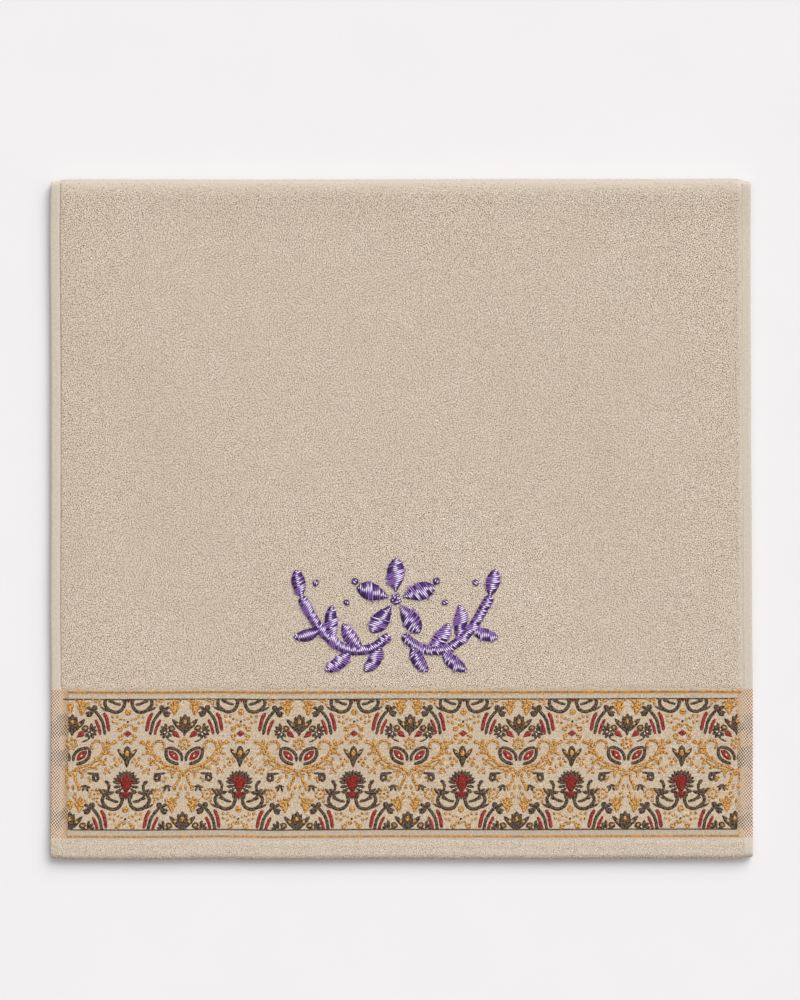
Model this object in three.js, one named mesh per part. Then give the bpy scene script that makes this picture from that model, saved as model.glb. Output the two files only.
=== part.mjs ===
// A hair towel of cotton terry, lying folded on a flat surface with its woven border in front.
// Millimetres, +Z up. The origin is the middle of the folded towel, on the surface it lies on.
// +X runs across the towel from side hem to side hem, and +Y from the border towards the upper fold.
//
// The towel is one piece of cloth. Its lower end is tucked under at a fold just past the border, and
// its upper end is folded down behind, so the cloth lies in two layers with both end hems underneath.

import * as THREE from "three";

// Driving dimensions of the cloth
const TOWEL_WIDTH = 500;
const FACE_LENGTH = 485; // from the lower fold to the upper fold, as the towel lies
const TUCK_LENGTH = 66; // of cloth tucked under at the lower fold
const ENDS_APART = 20; // between the two end hems, underneath
const TERRY = 3.2; // thickness of the ground weave with its loops on both faces
const FLAT_WEAVE = 1.9; // thickness of the border, which has no loops
const SIDE_HEM = 2.3; // thickness of the turned and stitched side hems
const SIDE_HEM_WIDTH = 7;
const END_HEM = 2.6; // thickness of the turned end hems
const END_HEM_WIDTH = 16;
const EDGE_ROUND = 0.9; // thickness that is left at the rounded rim of a hem

// The border, measured from the lower fold
const BORDER_START = 14.8;
const BORDER_END = 121;
const PILE_STEP = 1.6; // length over which the loops rise from the border or a hem

// How the two layers lie
const LAYER_GAP = 1.6; // between the layers, away from the folds
const FOLD_GAP = 2.4; // between the layers where the cloth turns
const FOLD_REACH = 34; // how far from a fold the cloth still stands higher
const HEM_SAG = 0.8; // how far the free side edges of the upper layer droop
const SAG_REACH = 26;
const UPPER_DRAW_IN = 1.5; // how far the stitching draws the upper fold in at the side hems
const LOWER_DRAW_IN = 0.3; // and the lower fold, which lies on the border's flat selvedge
const CORNER_REACH = 9;

// Number of steps that each stretch of cloth is divided into
const FOLD_STEPS = 8;
const TUCK_STEPS = 3;
const BORDER_STEPS = 6;
const FACE_STEPS = 15;
const BACK_STEPS = 9;
const WIDTH_STEPS = 18;
const RIM_MARKS = [0.6, 1.9]; // distances from a rim that its rounding is divided at

// How far each side edge strays outwards, at some distances above the lower fold
const SIDE_EDGES = [
  { along: 0, left: 0.3, right: 0.7 },
  { along: 17, left: 0.7, right: 0.8 },
  { along: 70, left: 0.3, right: 0.8 },
  { along: 120, left: 0.1, right: 0.8 },
  { along: 138, left: 0.1, right: 0.5 },
  { along: 172, left: 0.5, right: 0.2 },
  { along: 240, left: 0.3, right: 0 },
  { along: 291, left: 0.2, right: -0.5 },
  { along: 343, left: 0.2, right: -0.5 },
  { along: 394, left: 0.5, right: -0.8 },
  { along: 445, left: 0.9, right: -0.8 },
  { along: 485, left: 0.2, right: -0.8 },
];

// How far each fold strays outwards, at some distances from the left edge
const FOLD_LINES = [
  { across: 20, lower: 0.3, upper: -0.2 },
  { across: 71, lower: 0.4, upper: -0.2 },
  { across: 122, lower: -0.1, upper: -0.1 },
  { across: 157, lower: 0.5, upper: -0.1 },
  { across: 242, lower: -0.1, upper: 0.1 },
  { across: 345, lower: 0.1, upper: 0.2 },
  { across: 413, lower: -0.3, upper: 0.2 },
  { across: 482, lower: -0.3, upper: 0.3 },
];

// Soft waves in the upper layer: height, spacing across and along the towel, and phase in radians
const SOFT_WAVES = [
  { height: 0.3, across: 310, along: 420, phase: 0.6 },
  { height: 0.18, across: 145, along: 260, phase: 2.1 },
  { height: 0.12, across: -88, along: 120, phase: 4.4 },
];

// Slopes that are rounded off by the smooth step
const HEM_LIP = 0.4; // the side hem's step starts this much before its width is reached
const BORDER_SETTLE = 6; // length over which the thin border settles onto the layer below
const RIM_ROUNDING = 2; // width over which a rim is rounded

const smooth = (t) => {
  const k = Math.min(1, Math.max(0, t));
  return k * k * (3 - 2 * k);
};

// The value of one named column of a table at a place between its rows
function readTable(rows, place, column, value) {
  const last = rows.length - 1;
  if (value <= rows[0][place]) return rows[0][column];
  for (let i = 0; i < last; i++) {
    const [a, b] = [rows[i], rows[i + 1]];
    if (value <= b[place]) {
      const t = smooth((value - a[place]) / (b[place] - a[place]));
      return a[column] + t * (b[column] - a[column]);
    }
  }
  return rows[last][column];
}

// Distances along the cloth, from one end hem over both folds to the other end hem. Each station says
// on which stretch it lies and how far it has come along that stretch, in millimetres or as a share.
function clothStations() {
  const stations = [];
  const add = (stretch, at) => stations.push({ stretch, at });
  const spread = (stretch, from, to, steps) => {
    for (let i = 1; i <= steps; i++) add(stretch, from + ((to - from) * i) / steps);
  };
  const pileStart = END_HEM_WIDTH + PILE_STEP;
  const hemMarks = [0, ...RIM_MARKS, END_HEM_WIDTH, pileStart];

  hemMarks.forEach((mark) => add("tuck", mark));
  spread("tuck", pileStart, TUCK_LENGTH, TUCK_STEPS);
  spread("lowerFold", 0, 1, FOLD_STEPS);
  add("face", BORDER_START - PILE_STEP);
  add("face", BORDER_START);
  spread("face", BORDER_START, BORDER_END, BORDER_STEPS);
  add("face", BORDER_END + PILE_STEP);
  spread("face", BORDER_END + PILE_STEP, FACE_LENGTH - foldReach(), FACE_STEPS);
  spread("upperFold", 0, 1, FOLD_STEPS);
  spread("back", 0, backLength() - pileStart, BACK_STEPS);
  const lastMarks = hemMarks.slice(0, -1).reverse();
  lastMarks.forEach((mark) => add("back", backLength() - mark));
  return stations;
}

// Radius of the middle of the cloth where it turns, and how far the turned cloth reaches past its centre
function foldRadius() {
  return (TERRY + FOLD_GAP) / 2;
}
function foldReach() {
  return foldRadius() + TERRY / 2;
}

// Length of the cloth behind, from the upper fold down to its end hem
function backLength() {
  return FACE_LENGTH - 2 * foldReach() - TUCK_LENGTH - ENDS_APART;
}

// Places across the towel: distance from the left edge, or from the right edge as a negative number
function crossStations() {
  const hemMarks = [0, ...RIM_MARKS, SIDE_HEM_WIDTH - HEM_LIP, SIDE_HEM_WIDTH + PILE_STEP];
  const inner = hemMarks[hemMarks.length - 1];
  const middle = [];
  for (let i = 1; i < WIDTH_STEPS; i++) {
    middle.push(inner + ((TOWEL_WIDTH - 2 * inner) * i) / WIDTH_STEPS);
  }
  const mirrored = hemMarks.map((mark) => TOWEL_WIDTH - mark).reverse();
  return [...hemMarks, ...middle, ...mirrored];
}

// Thickness of the cloth. onFace is the distance above the lower fold, or null on the other stretches.
// toEnd is the distance to the nearest end hem's rim, and toSide that to the nearest side edge.
function thicknessAt(onFace, toEnd, toSide) {
  let thick = TERRY;
  if (onFace !== null) {
    const below = smooth((BORDER_START - onFace) / PILE_STEP);
    const above = smooth((onFace - BORDER_END) / PILE_STEP);
    thick = FLAT_WEAVE + (TERRY - FLAT_WEAVE) * Math.max(below, above);
  }
  const pastEndHem = smooth((toEnd - END_HEM_WIDTH) / PILE_STEP);
  thick = END_HEM + (thick - END_HEM) * pastEndHem;
  const pastSideHem = smooth((toSide - SIDE_HEM_WIDTH + HEM_LIP) / (PILE_STEP + HEM_LIP));
  thick = SIDE_HEM + (thick - SIDE_HEM) * pastSideHem;
  const rim = Math.min(1, Math.min(toEnd, toSide) / RIM_ROUNDING);
  return EDGE_ROUND + (thick - EDGE_ROUND) * Math.sqrt(1 - (1 - rim) ** 2);
}

// Height of the middle of the upper layer
function upperHeight(onFace, fromLeft, toSide) {
  const toFold = Math.min(onFace, FACE_LENGTH - onFace);
  const nearFold = 1 - smooth((toFold - foldReach()) / FOLD_REACH);
  const gap = LAYER_GAP + (FOLD_GAP - LAYER_GAP) * nearFold;
  const sag = HEM_SAG * (1 - smooth(toSide / SAG_REACH));
  const pastStart = smooth((onFace - BORDER_START) / BORDER_SETTLE);
  const beforeEnd = smooth((BORDER_END - onFace) / BORDER_SETTLE);
  const inBorder = pastStart * beforeEnd;
  const settled = ((TERRY - FLAT_WEAVE) / 2) * inBorder;
  let wave = 0;
  for (const { height, across, along, phase } of SOFT_WAVES) {
    const turns = fromLeft / across + onFace / along;
    wave += height * Math.sin(2 * Math.PI * turns + phase);
  }
  return TERRY + gap + TERRY / 2 + (wave - sag) * (1 - nearFold) - settled;
}

// The point in the middle of the cloth at one station, with the direction that its outer face looks in
function clothMiddle({ stretch, at }, fromLeft, thick, toSide) {
  const atCorner = 1 - smooth((toSide - RIM_ROUNDING) / CORNER_REACH);
  const lowerStray = readTable(FOLD_LINES, "across", "lower", fromLeft) - LOWER_DRAW_IN * atCorner;
  const upperStray = readTable(FOLD_LINES, "across", "upper", fromLeft) - UPPER_DRAW_IN * atCorner;
  const lowerLine = -FACE_LENGTH / 2 - lowerStray;
  const upperLine = FACE_LENGTH / 2 + upperStray;
  const radius = foldRadius();
  const reach = foldReach();
  const centre = TERRY / 2 + radius;

  if (stretch === "tuck") {
    const y = lowerLine + reach + TUCK_LENGTH - at;
    return { y, z: thick / 2, outY: 0, outZ: -1 };
  }
  if (stretch === "back") {
    return { y: upperLine - reach - at, z: thick / 2, outY: 0, outZ: -1 };
  }
  if (stretch === "face") {
    const share = (at - reach) / (FACE_LENGTH - 2 * reach);
    const y = lowerLine + reach + share * (upperLine - lowerLine - 2 * reach);
    return { y, z: upperHeight(at, fromLeft, toSide), outY: 0, outZ: 1 };
  }
  // The lower turn runs from underneath round the front and up, and the upper one back down again.
  const turn = Math.PI * at;
  if (stretch === "lowerFold") {
    const y = lowerLine + reach - radius * Math.sin(turn);
    return { y, z: centre - radius * Math.cos(turn), outY: -Math.sin(turn), outZ: -Math.cos(turn) };
  }
  const y = upperLine - reach + radius * Math.sin(turn);
  return { y, z: centre + radius * Math.cos(turn), outY: Math.sin(turn), outZ: Math.cos(turn) };
}

// Outer and inner corner of the cloth at one station along it and one place across it
function clothCorners(station, fromLeft) {
  const { stretch, at } = station;
  const toSide = Math.min(fromLeft, TOWEL_WIDTH - fromLeft);
  const onFace = stretch === "face" ? at : null;
  let toEnd = Infinity;
  if (stretch === "tuck") toEnd = at;
  if (stretch === "back") toEnd = backLength() - at;

  const thick = thicknessAt(onFace, toEnd, toSide);
  const { y, z, outY, outZ } = clothMiddle(station, fromLeft, thick, toSide);
  const along = y + FACE_LENGTH / 2;
  const left = readTable(SIDE_EDGES, "along", "left", along);
  const right = readTable(SIDE_EDGES, "along", "right", along);
  const share = fromLeft / TOWEL_WIDTH;
  const x = fromLeft - TOWEL_WIDTH / 2 - left * (1 - share) + right * share;

  const half = thick / 2;
  return {
    outer: [x, y + outY * half, z + outZ * half],
    inner: [x, y - outY * half, z - outZ * half],
  };
}

// One closed surface round the whole cloth: its outer face, its inner face and the rim between them
function makeClothGeometry() {
  const rows = clothStations();
  const columns = crossStations();
  const positions = [];
  const outer = [];
  const inner = [];
  for (const row of rows) {
    const outerRow = [];
    const innerRow = [];
    for (const column of columns) {
      const corners = clothCorners(row, column);
      outerRow.push(positions.length / 3);
      positions.push(...corners.outer);
      innerRow.push(positions.length / 3);
      positions.push(...corners.inner);
    }
    outer.push(outerRow);
    inner.push(innerRow);
  }

  const index = [];
  const quad = (a, b, c, d) => index.push(a, b, c, a, c, d);
  const lastRow = rows.length - 1;
  const lastColumn = columns.length - 1;
  for (let i = 0; i < lastRow; i++) {
    for (let j = 0; j < lastColumn; j++) {
      quad(outer[i][j], outer[i][j + 1], outer[i + 1][j + 1], outer[i + 1][j]);
      quad(inner[i][j], inner[i + 1][j], inner[i + 1][j + 1], inner[i][j + 1]);
    }
    quad(outer[i][0], outer[i + 1][0], inner[i + 1][0], inner[i][0]);
    quad(outer[i + 1][lastColumn], outer[i][lastColumn], inner[i][lastColumn], inner[i + 1][lastColumn]);
  }
  for (let j = 0; j < lastColumn; j++) {
    quad(outer[0][j + 1], outer[0][j], inner[0][j], inner[0][j + 1]);
    quad(outer[lastRow][j], outer[lastRow][j + 1], inner[lastRow][j + 1], inner[lastRow][j]);
  }

  const geometry = new THREE.BufferGeometry();
  geometry.setAttribute("position", new THREE.Float32BufferAttribute(positions, 3));
  geometry.setIndex(index);
  geometry.computeVertexNormals();
  return geometry;
}

const terryCotton = new THREE.MeshStandardMaterial({
  color: 0xcabaa7,
  roughness: 0.95,
  metalness: 0,
});

const towel = new THREE.Mesh(makeClothGeometry(), terryCotton);
towel.name = "towel";

const foldedTowel = new THREE.Group();
foldedTowel.add(towel);

export default foldedTowel;
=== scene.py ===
# %% [markdown]
# # A folded hair towel
#
# The object is one length of cotton terry, folded so that its woven border lies in front. The solid
# part already holds its size and its two folds. This lesson dresses that part: a thin cloth with its
# hems, thousands of terry loops, a border woven in coloured yarns, and a sprig in satin stitch.
# Lengths are in millimetres until a mesh is made, because that is how cloth is measured.

import math

import bpy
import numpy as np
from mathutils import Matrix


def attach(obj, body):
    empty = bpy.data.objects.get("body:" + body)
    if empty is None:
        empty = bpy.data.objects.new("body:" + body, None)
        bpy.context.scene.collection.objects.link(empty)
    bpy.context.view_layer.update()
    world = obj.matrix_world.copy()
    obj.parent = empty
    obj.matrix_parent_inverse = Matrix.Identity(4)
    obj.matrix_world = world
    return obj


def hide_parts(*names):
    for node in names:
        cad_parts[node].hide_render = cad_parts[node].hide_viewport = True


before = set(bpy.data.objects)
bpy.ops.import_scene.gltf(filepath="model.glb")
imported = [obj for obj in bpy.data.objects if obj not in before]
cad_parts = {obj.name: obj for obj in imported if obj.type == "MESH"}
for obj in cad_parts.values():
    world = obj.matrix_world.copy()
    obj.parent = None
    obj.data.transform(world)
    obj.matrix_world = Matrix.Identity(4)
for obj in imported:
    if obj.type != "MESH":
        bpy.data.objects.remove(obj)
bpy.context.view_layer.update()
MM = 0.001

# %% [markdown]
# ## Sizes of the cloth
#
# These are the driving sizes of the real towel. The layers of a folded towel lie almost on each other,
# so the thicknesses matter as much as the outline: terry is thick because of its loops, the border has
# none and lies lower, and a turned hem is two thin layers.

# %% Driving sizes
TOWEL_WIDTH = 500.0
FACE_LENGTH = 485.0  # from the lower fold to the upper one
TUCK_LENGTH = 66.0  # of the end that is tucked under the lower fold
ENDS_APART = 20.0  # between the two ends, underneath
TERRY = 3.2  # thickness where the cloth is looped
PILE = 1.0  # height of the loops that are made one by one
FOLD_PILE = 0.55  # and at the lower fold, where they are spread apart
PALE_FOLD_PILE = 0.2  # and at the upper fold, where they are pulled flat
FLAT_WEAVE = 1.9  # thickness of the border
SIDE_HEM, SIDE_HEM_WIDTH = 2.3, 6.9
END_HEM, END_HEM_WIDTH = 2.6, 16.0
SEAM_DIP = 0.35  # by which a hem's seam draws the cloth down
HEM_GROOVE = 0.3  # between the left hem and the loops, where the seam pulls the cloth down
BORDER_START, BORDER_END = 14.8, 121.0  # above the lower fold
PILE_STEP = 1.6  # over which the pile ends at the border and at the end hems
LAYER_GAP = 1.6  # between the two layers
FOLD_GAP = 2.4  # and near the folds
FOLD_REACH = 34.0  # over which the gap changes
STEP_DOWN, STEP_AHEAD = 6.0, 5.0  # over which the cloth comes down to the thin border, and how far before it
HEM_SAG, SAG_REACH = 0.8, 26.0  # by which the thin side hems lie lower, and over what width
UPPER_DRAW_IN, LOWER_DRAW_IN = 1.5, 0.3  # by which the folds are shorter at the corners
CORNER_REACH = 9.0
FOLD_BULGE = 0.8  # by which the loops push the lower fold outwards between the hems
RIM_ROUNDING, RIM_LEFT = 2.0, 0.9  # width over which the cloth's rim is rounded, and what thickness is left

TURN_RADIUS = (TERRY + FOLD_GAP) / 2
TURN_REACH = TURN_RADIUS + TERRY / 2
TURN_LENGTH = math.pi * TURN_RADIUS
BACK_LENGTH = FACE_LENGTH - 2 * TURN_REACH - TUCK_LENGTH - ENDS_APART

# Distances along the cloth, from its tucked end, at which each stretch ends
TUCK_ENDS = TUCK_LENGTH
LOWER_TURN_ENDS = TUCK_ENDS + TURN_LENGTH
FACE_ENDS = LOWER_TURN_ENDS + FACE_LENGTH - 2 * TURN_REACH
UPPER_TURN_ENDS = FACE_ENDS + TURN_LENGTH
CLOTH_LENGTH = UPPER_TURN_ENDS + BACK_LENGTH
print(f"flat cloth: {TOWEL_WIDTH:.0f} x {CLOTH_LENGTH:.0f} mm")

# %% [markdown]
# ## Where a point of the flat cloth lies when it is folded
#
# Every piece below sits on the same cloth, so one function says where a point of the flat cloth ends up.
# It takes the distance along the cloth, the distance across it and the lift above its middle, and works
# on whole arrays at once. The tables hold how far the real edges stray from straight lines.

# %% The folded form
SIDE_EDGES = np.array([  # above the lower fold, left edge outwards, right edge outwards
    (0, 0.3, 0.7), (17, 0.7, 0.8), (70, 0.3, 0.8), (120, 0.1, 0.8), (138, 0.1, 0.5), (172, 0.5, 0.2),
    (240, 0.3, 0.0), (291, 0.2, -0.5), (343, 0.2, -0.5), (394, 0.5, -0.8), (445, 0.9, -0.8), (485, 0.2, -0.8),
])
FOLD_LINES = np.array([  # from the left edge, lower fold outwards, upper fold outwards
    (20, 0.3, 0.2), (71, 0.4, 0.1), (122, -0.1, 0.1), (157, 0.5, 0.0),
    (242, -0.1, 0.2), (345, 0.1, 0.4), (413, -0.3, 0.3), (482, -0.3, 0.6),
])
# Height, length across, length along and phase
SOFT_WAVES = [(0.3, 310, 420, 0.6), (0.18, 145, 260, 2.1), (0.12, -88, 120, 4.4)]


def smooth(t):
    t = np.clip(t, 0.0, 1.0)
    return t * t * (3.0 - 2.0 * t)


def stray(table, place, column):
    return np.interp(place, table[:, 0], table[:, column])


def to_edge(place, size):
    """Distance to the nearer of two opposite edges."""
    return np.minimum(place, size - place)


def along_of(above):
    """Distance along the cloth of a place on the face, given its height above the lower fold."""
    return LOWER_TURN_ENDS + above - TURN_REACH


def above_of(along):
    """The other way round: height above the lower fold of a distance along the cloth."""
    return along - LOWER_TURN_ENDS + TURN_REACH


def on_face(along):
    return (along > LOWER_TURN_ENDS) & (along < FACE_ENDS)


def face_height(above, across, to_side):
    """Height of the middle of the upper layer."""
    to_fold = to_edge(above, FACE_LENGTH)
    near_fold = 1 - smooth((to_fold - TURN_REACH) / FOLD_REACH)
    gap = LAYER_GAP + (FOLD_GAP - LAYER_GAP) * near_fold
    sag = HEM_SAG * (1 - smooth(to_side / SAG_REACH))
    settle = smooth((above - BORDER_START + STEP_AHEAD) / STEP_DOWN)
    settle = settle * smooth((BORDER_END - above) / STEP_DOWN)
    wave = sum(
        high * np.sin(2 * math.pi * (across / wide + above / long) + phase)
        for high, wide, long, phase in SOFT_WAVES
    )
    lower = (TERRY - FLAT_WEAVE) / 2 * settle
    return TERRY + gap + TERRY / 2 + (wave - sag) * (1 - near_fold) - lower


def lay(along, across, lift, below=TERRY / 2):
    """The point in space of a place on the cloth. below is the lower layer's half thickness."""
    along, across, lift = np.broadcast_arrays(along, across, lift)
    to_side = to_edge(across, TOWEL_WIDTH)
    at_corner = 1 - smooth((to_side - RIM_ROUNDING) / CORNER_REACH)
    lower = -FACE_LENGTH / 2 - stray(FOLD_LINES, across, 1) + LOWER_DRAW_IN * at_corner
    upper = FACE_LENGTH / 2 + stray(FOLD_LINES, across, 2) - UPPER_DRAW_IN * at_corner
    share = (along - LOWER_TURN_ENDS) / (FACE_ENDS - LOWER_TURN_ENDS)
    rising = math.pi * (along - TUCK_ENDS) / TURN_LENGTH
    falling = math.pi * (along - FACE_ENDS) / TURN_LENGTH
    centre = TERRY / 2 + TURN_RADIUS  # height of the middle of both turns
    stretches = [along < TUCK_ENDS, along < LOWER_TURN_ENDS, along < FACE_ENDS, along < UPPER_TURN_ENDS]
    y = np.select(stretches, [
        lower + TURN_REACH + TUCK_LENGTH - along,
        lower + TURN_REACH - TURN_RADIUS * np.sin(rising),
        lower + TURN_REACH + share * (upper - lower - 2 * TURN_REACH),
        upper - TURN_REACH + TURN_RADIUS * np.sin(falling),
    ], upper - TURN_REACH - (along - UPPER_TURN_ENDS))
    y = y - FOLD_BULGE * (1 - at_corner) * (1 - smooth(above_of(along) / BORDER_START))
    z = np.select(stretches, [
        below + 0 * along,
        centre - TURN_RADIUS * np.cos(rising),
        face_height(above_of(along), across, to_side),
        centre + TURN_RADIUS * np.cos(falling),
    ], below + 0 * along)
    out_y = np.select(stretches, [0 * y, -np.sin(rising), 0 * y, np.sin(falling)], 0.0)
    out_z = np.select(stretches, [0 * y - 1, -np.cos(rising), 0 * y + 1, np.cos(falling)], -1.0)
    height = y + FACE_LENGTH / 2
    left, right = stray(SIDE_EDGES, height, 1), stray(SIDE_EDGES, height, 2)
    x = across - TOWEL_WIDTH / 2 - left * (1 - across / TOWEL_WIDTH) + right * across / TOWEL_WIDTH
    return np.stack([x, y + out_y * lift, z + out_z * lift], axis=-1)


# %% [markdown]
# ## Materials: colours and one helper
#
# Colours are written as they are read off a screen, in sRGB hex, and turned to linear light by one
# function. Node trees are built by one helper that adds a node, sets it up and links its inputs. It
# serves the materials and the Geometry Nodes alike. A Map Range, which appears often, takes its value,
# the two ends of the range it comes from, and the two ends of the range it goes to.

# %% Colour and node helpers
FAMILIES = ("ShaderNode", "GeometryNode", "FunctionNode", "Node")


def linear(hex_colour):
    channels = [int(hex_colour[i:i + 2], 16) / 255 for i in (1, 3, 5)]
    return [c / 12.92 if c <= 0.04045 else ((c + 0.055) / 1.055) ** 2.4 for c in channels] + [1.0]


def add(tree, kind, inputs=(), **settings):
    """Add one node. inputs are values, or nodes and outputs to link from: a tuple fills the sockets in
    use in their order, and a dict names them. kind is the node's type without its family."""
    made = tree.nodes.new(next(family + kind for family in FAMILIES if hasattr(bpy.types, family + kind)))
    for name, value in settings.items():
        setattr(made, name, value)
    in_use = [socket for socket in made.inputs if socket.enabled]
    for key, value in inputs.items() if isinstance(inputs, dict) else enumerate(inputs):
        socket = made.inputs[key] if isinstance(key, str) else in_use[key]
        if isinstance(value, bpy.types.Node):
            value = next(output for output in value.outputs if output.enabled)
        if isinstance(value, bpy.types.NodeSocket):
            tree.links.new(value, socket)
        else:
            socket.default_value = value
    return made


def tinted(tree, colour, *layers):
    """The colour with tints laid over it, each as strong as its share."""
    for share, tint in layers:
        colour = add(tree, "Mix", (share, colour, linear(tint)), data_type="RGBA")
    return colour


def new_material(name):
    material = bpy.data.materials.new(name)
    material.use_nodes = True
    tree = material.node_tree
    tree.nodes.clear()
    return material, tree


def surface(material, inputs):
    """The material with its one shader, and the output that it feeds."""
    tree = material.node_tree
    add(tree, "OutputMaterial", {"Surface": add(tree, "BsdfPrincipled", inputs)})
    return material


# %% [markdown]
# ## The terry ground
#
# Terry is matt: light goes in between the loops and comes out soft. A fine noise tints the yarn, and a
# second one paints the shade in the dark gaps between loops, which is deeper where the loops part into
# clumps. The bump is as fine as one loop, and it is all that the hidden underside has, where no loops are
# made.

# %% Materials of the plain cloth
LOOP_SIZE = 0.6  # mm, across one loop
GAP_PITCH = 0.7  # mm between the dark gaps that show between loops
CLUMPS = 4.5  # mm across the clumps in which the loops stick together
PALE_FOLD = 13.0  # mm of the face, under the upper fold, where the stretched pile thins out
LOW_PILE_WIDTH = 9.6  # mm along the right edge, of the hem and the short loops beside it
YARN_BAND = 1.5  # mm of a light or dark band. Real yarns are a third as wide, which would be too fine to show
FIELD_BOTTOM, FIELD_TOP = 21.3, 114.0  # mm above the lower fold, of the border's patterned field
WAVE = 6.3  # at a scale of 1 / (WAVE * width), a wave texture has light and dark bands of that width


def mottled(tree, place, light, dark, patch_mm, strength):
    """Colour between two tints, in soft patches of a real size."""
    patch = add(tree, "TexNoise", {"Vector": place, "Scale": 1 / (patch_mm * MM), "Detail": 3.0})
    share = add(tree, "MapRange", (patch, 0.5 - strength, 0.5 + strength))
    return tinted(tree, linear(dark), (share, light))


def dark_gaps(tree, place, deepest):
    """Where the light gets lost between loops, as a share from 0 to deepest."""
    turned = add(tree, "Mapping", {"Vector": place, "Rotation": (0, 0, 0.4)})
    gaps, clumps = [
        add(tree, "TexNoise", {
            "Vector": turned, "Scale": 1 / (apart * MM), "Detail": detail,
        }, noise_dimensions="2D")
        for apart, detail in ((GAP_PITCH, 0.0), (CLUMPS, 1.0))
    ]
    depth = add(tree, "MapRange", (gaps, 0.33, 0.51, deepest, 0.0))
    parted = add(tree, "MapRange", (clumps, 0.25, 0.75, 0.8, 1.2))
    return add(tree, "Math", (depth, parted), operation="MULTIPLY")


def make_terry_ground():
    # Cotton terry, woven with slack warp loops and washed: matt, grainy and uneven at the loops' scale
    material, tree = new_material("looped_terry_cotton")
    place = add(tree, "TexCoord").outputs["Object"]
    flat = add(tree, "UVMap", uv_map="cloth")
    across, along = add(tree, "SeparateXYZ", (flat,)).outputs[:2]
    fold, low_pile = along_of(FACE_LENGTH), TOWEL_WIDTH - LOW_PILE_WIDTH
    start, end = along_of(BORDER_START), along_of(BORDER_END)
    slope_shade_share, thinning = 0.4, 0.6  # how much the pile's last rows are tinted, above and below the border; above it the tint is painted shade where the pile slopes down
    near_fold, over_fold, by_hem, below_border, slope_shade_above_border = [
        add(tree, "MapRange", (where, low * MM, high * MM, 0.0, most))
        for where, low, high, most in (
            (along, fold - PALE_FOLD, fold - 4.5, 0.8), (along, fold - 4.7, fold - 2.3, 1.0),
            (across, low_pile - 1.6, low_pile + 1, 0.8), (along, start + 1, start - 1, thinning),
            (along, end + 3, end + 1, slope_shade_share),
        )
    ]
    thin = add(tree, "Math", (by_hem, below_border), operation="MAXIMUM")
    # Painted shade: the pile's last rows above the border are tinted darker where they slope down to it;
    # below the border this tint is taken out again
    painted_slope_shade = add(tree, "Math", (
        below_border, -slope_shade_share / thinning, slope_shade_above_border,
    ), operation="MULTIPLY_ADD")
    yarn = mottled(tree, place, "#eedecb", "#d7c4ac", 0.5, 0.11)
    colour = tinted(
        tree, yarn, (dark_gaps(tree, place, 0.72), "#5f4630"), (painted_slope_shade, "#a8947c"), (thin, "#cec0b0"),
        (near_fold, "#e6d8c5"), (over_fold, "#cabfb2"),
    )
    grain = add(tree, "TexNoise", {"Vector": place, "Scale": 1 / (LOOP_SIZE * MM), "Detail": 2.0})
    bump = add(tree, "Bump", {"Height": grain, "Strength": 0.9, "Distance": 0.9 * MM})
    return surface(material, {
        "Base Color": colour, "Roughness": 0.95, "Normal": bump, "Specular IOR Level": 0.2,
    })


def make_flat_weave():
    # Plain-woven cotton, as in the border's ground and the hems: fine yarns at right angles, almost matt
    material, tree = new_material("plain_woven_cotton")
    place = add(tree, "TexCoord").outputs["Object"]
    flat = add(tree, "UVMap", uv_map="cloth")
    along = add(tree, "SeparateXYZ", (flat,)).outputs[1]
    field = along_of(FIELD_BOTTOM)
    # Painted shade: the strip between the lower cord and the field is darkened
    shade_below_field = add(tree, "MapRange", (along, (field + 1) * MM, field * MM, 0.0, 0.5))
    open_weave = mottled(tree, place, "#d8c7af", "#a08b72", 0.75, 0.16)
    colour = tinted(tree, open_weave, (shade_below_field, "#a99a88"))
    rows = [
        add(tree, "TexWave", {
            "Vector": flat, "Scale": 1 / (WAVE * YARN_BAND * MM), "Distortion": 4.0, "Detail": 2.0,
            "Detail Scale": 3.0,
        }, bands_direction=direction).outputs["Fac"]
        for direction in "XY"
    ]
    weave = add(tree, "Math", rows, operation="ADD")
    bump = add(tree, "Bump", {"Height": weave, "Strength": 0.3, "Distance": 0.2 * MM})
    return surface(material, {
        "Base Color": colour, "Roughness": 0.85, "Normal": bump, "Specular IOR Level": 0.25,
    })


def make_hem_weave():
    # Close plain weave, turned and pressed flat: the smoothest and palest cloth of the towel
    material, tree = new_material("pressed_hem_cotton")
    place = add(tree, "TexCoord").outputs["Object"]
    flat = add(tree, "UVMap", uv_map="cloth")
    colour = mottled(tree, place, "#ccc1b3", "#bfb2a3", 1.4, 0.2)
    ribs = add(tree, "TexWave", (flat, 1 / (WAVE * YARN_BAND * MM)), bands_direction="X").outputs["Fac"]
    bump = add(tree, "Bump", {"Height": ribs, "Strength": 0.15, "Distance": 0.1 * MM})
    return surface(material, {
        "Base Color": colour, "Roughness": 0.85, "Normal": bump, "Specular IOR Level": 0.25,
    })


terry_ground, flat_weave, hem_weave = make_terry_ground(), make_flat_weave(), make_hem_weave()
print("plain materials:", terry_ground.name, flat_weave.name, hem_weave.name)

# %% [markdown]
# ## The selvedge beside the border
#
# A border's pattern yarns run on to the edge of the cloth. Outside the pattern they are bound in every
# other row, which reads as a fine chequer of peach and cream, with dark where such a yarn is in use on
# that row.

# %% Material of the selvedge
HATCH = 1.05  # mm across a check. The real ones are finer, which would be too fine to show
DARK_BY_HEIGHT = (  # share of the border's height, and how much of the bound yarn is dark there
    (0.07, 0.35), (0.1, 1.0), (0.16, 0.9), (0.2, 0.25), (0.3, 0.2), (0.4, 0.35), (0.48, 0.3), (0.51, 1.0),
    (0.58, 1.0), (0.61, 0.3), (0.68, 0.35), (0.71, 1.0), (0.79, 0.9), (0.83, 0.2),
)


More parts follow.
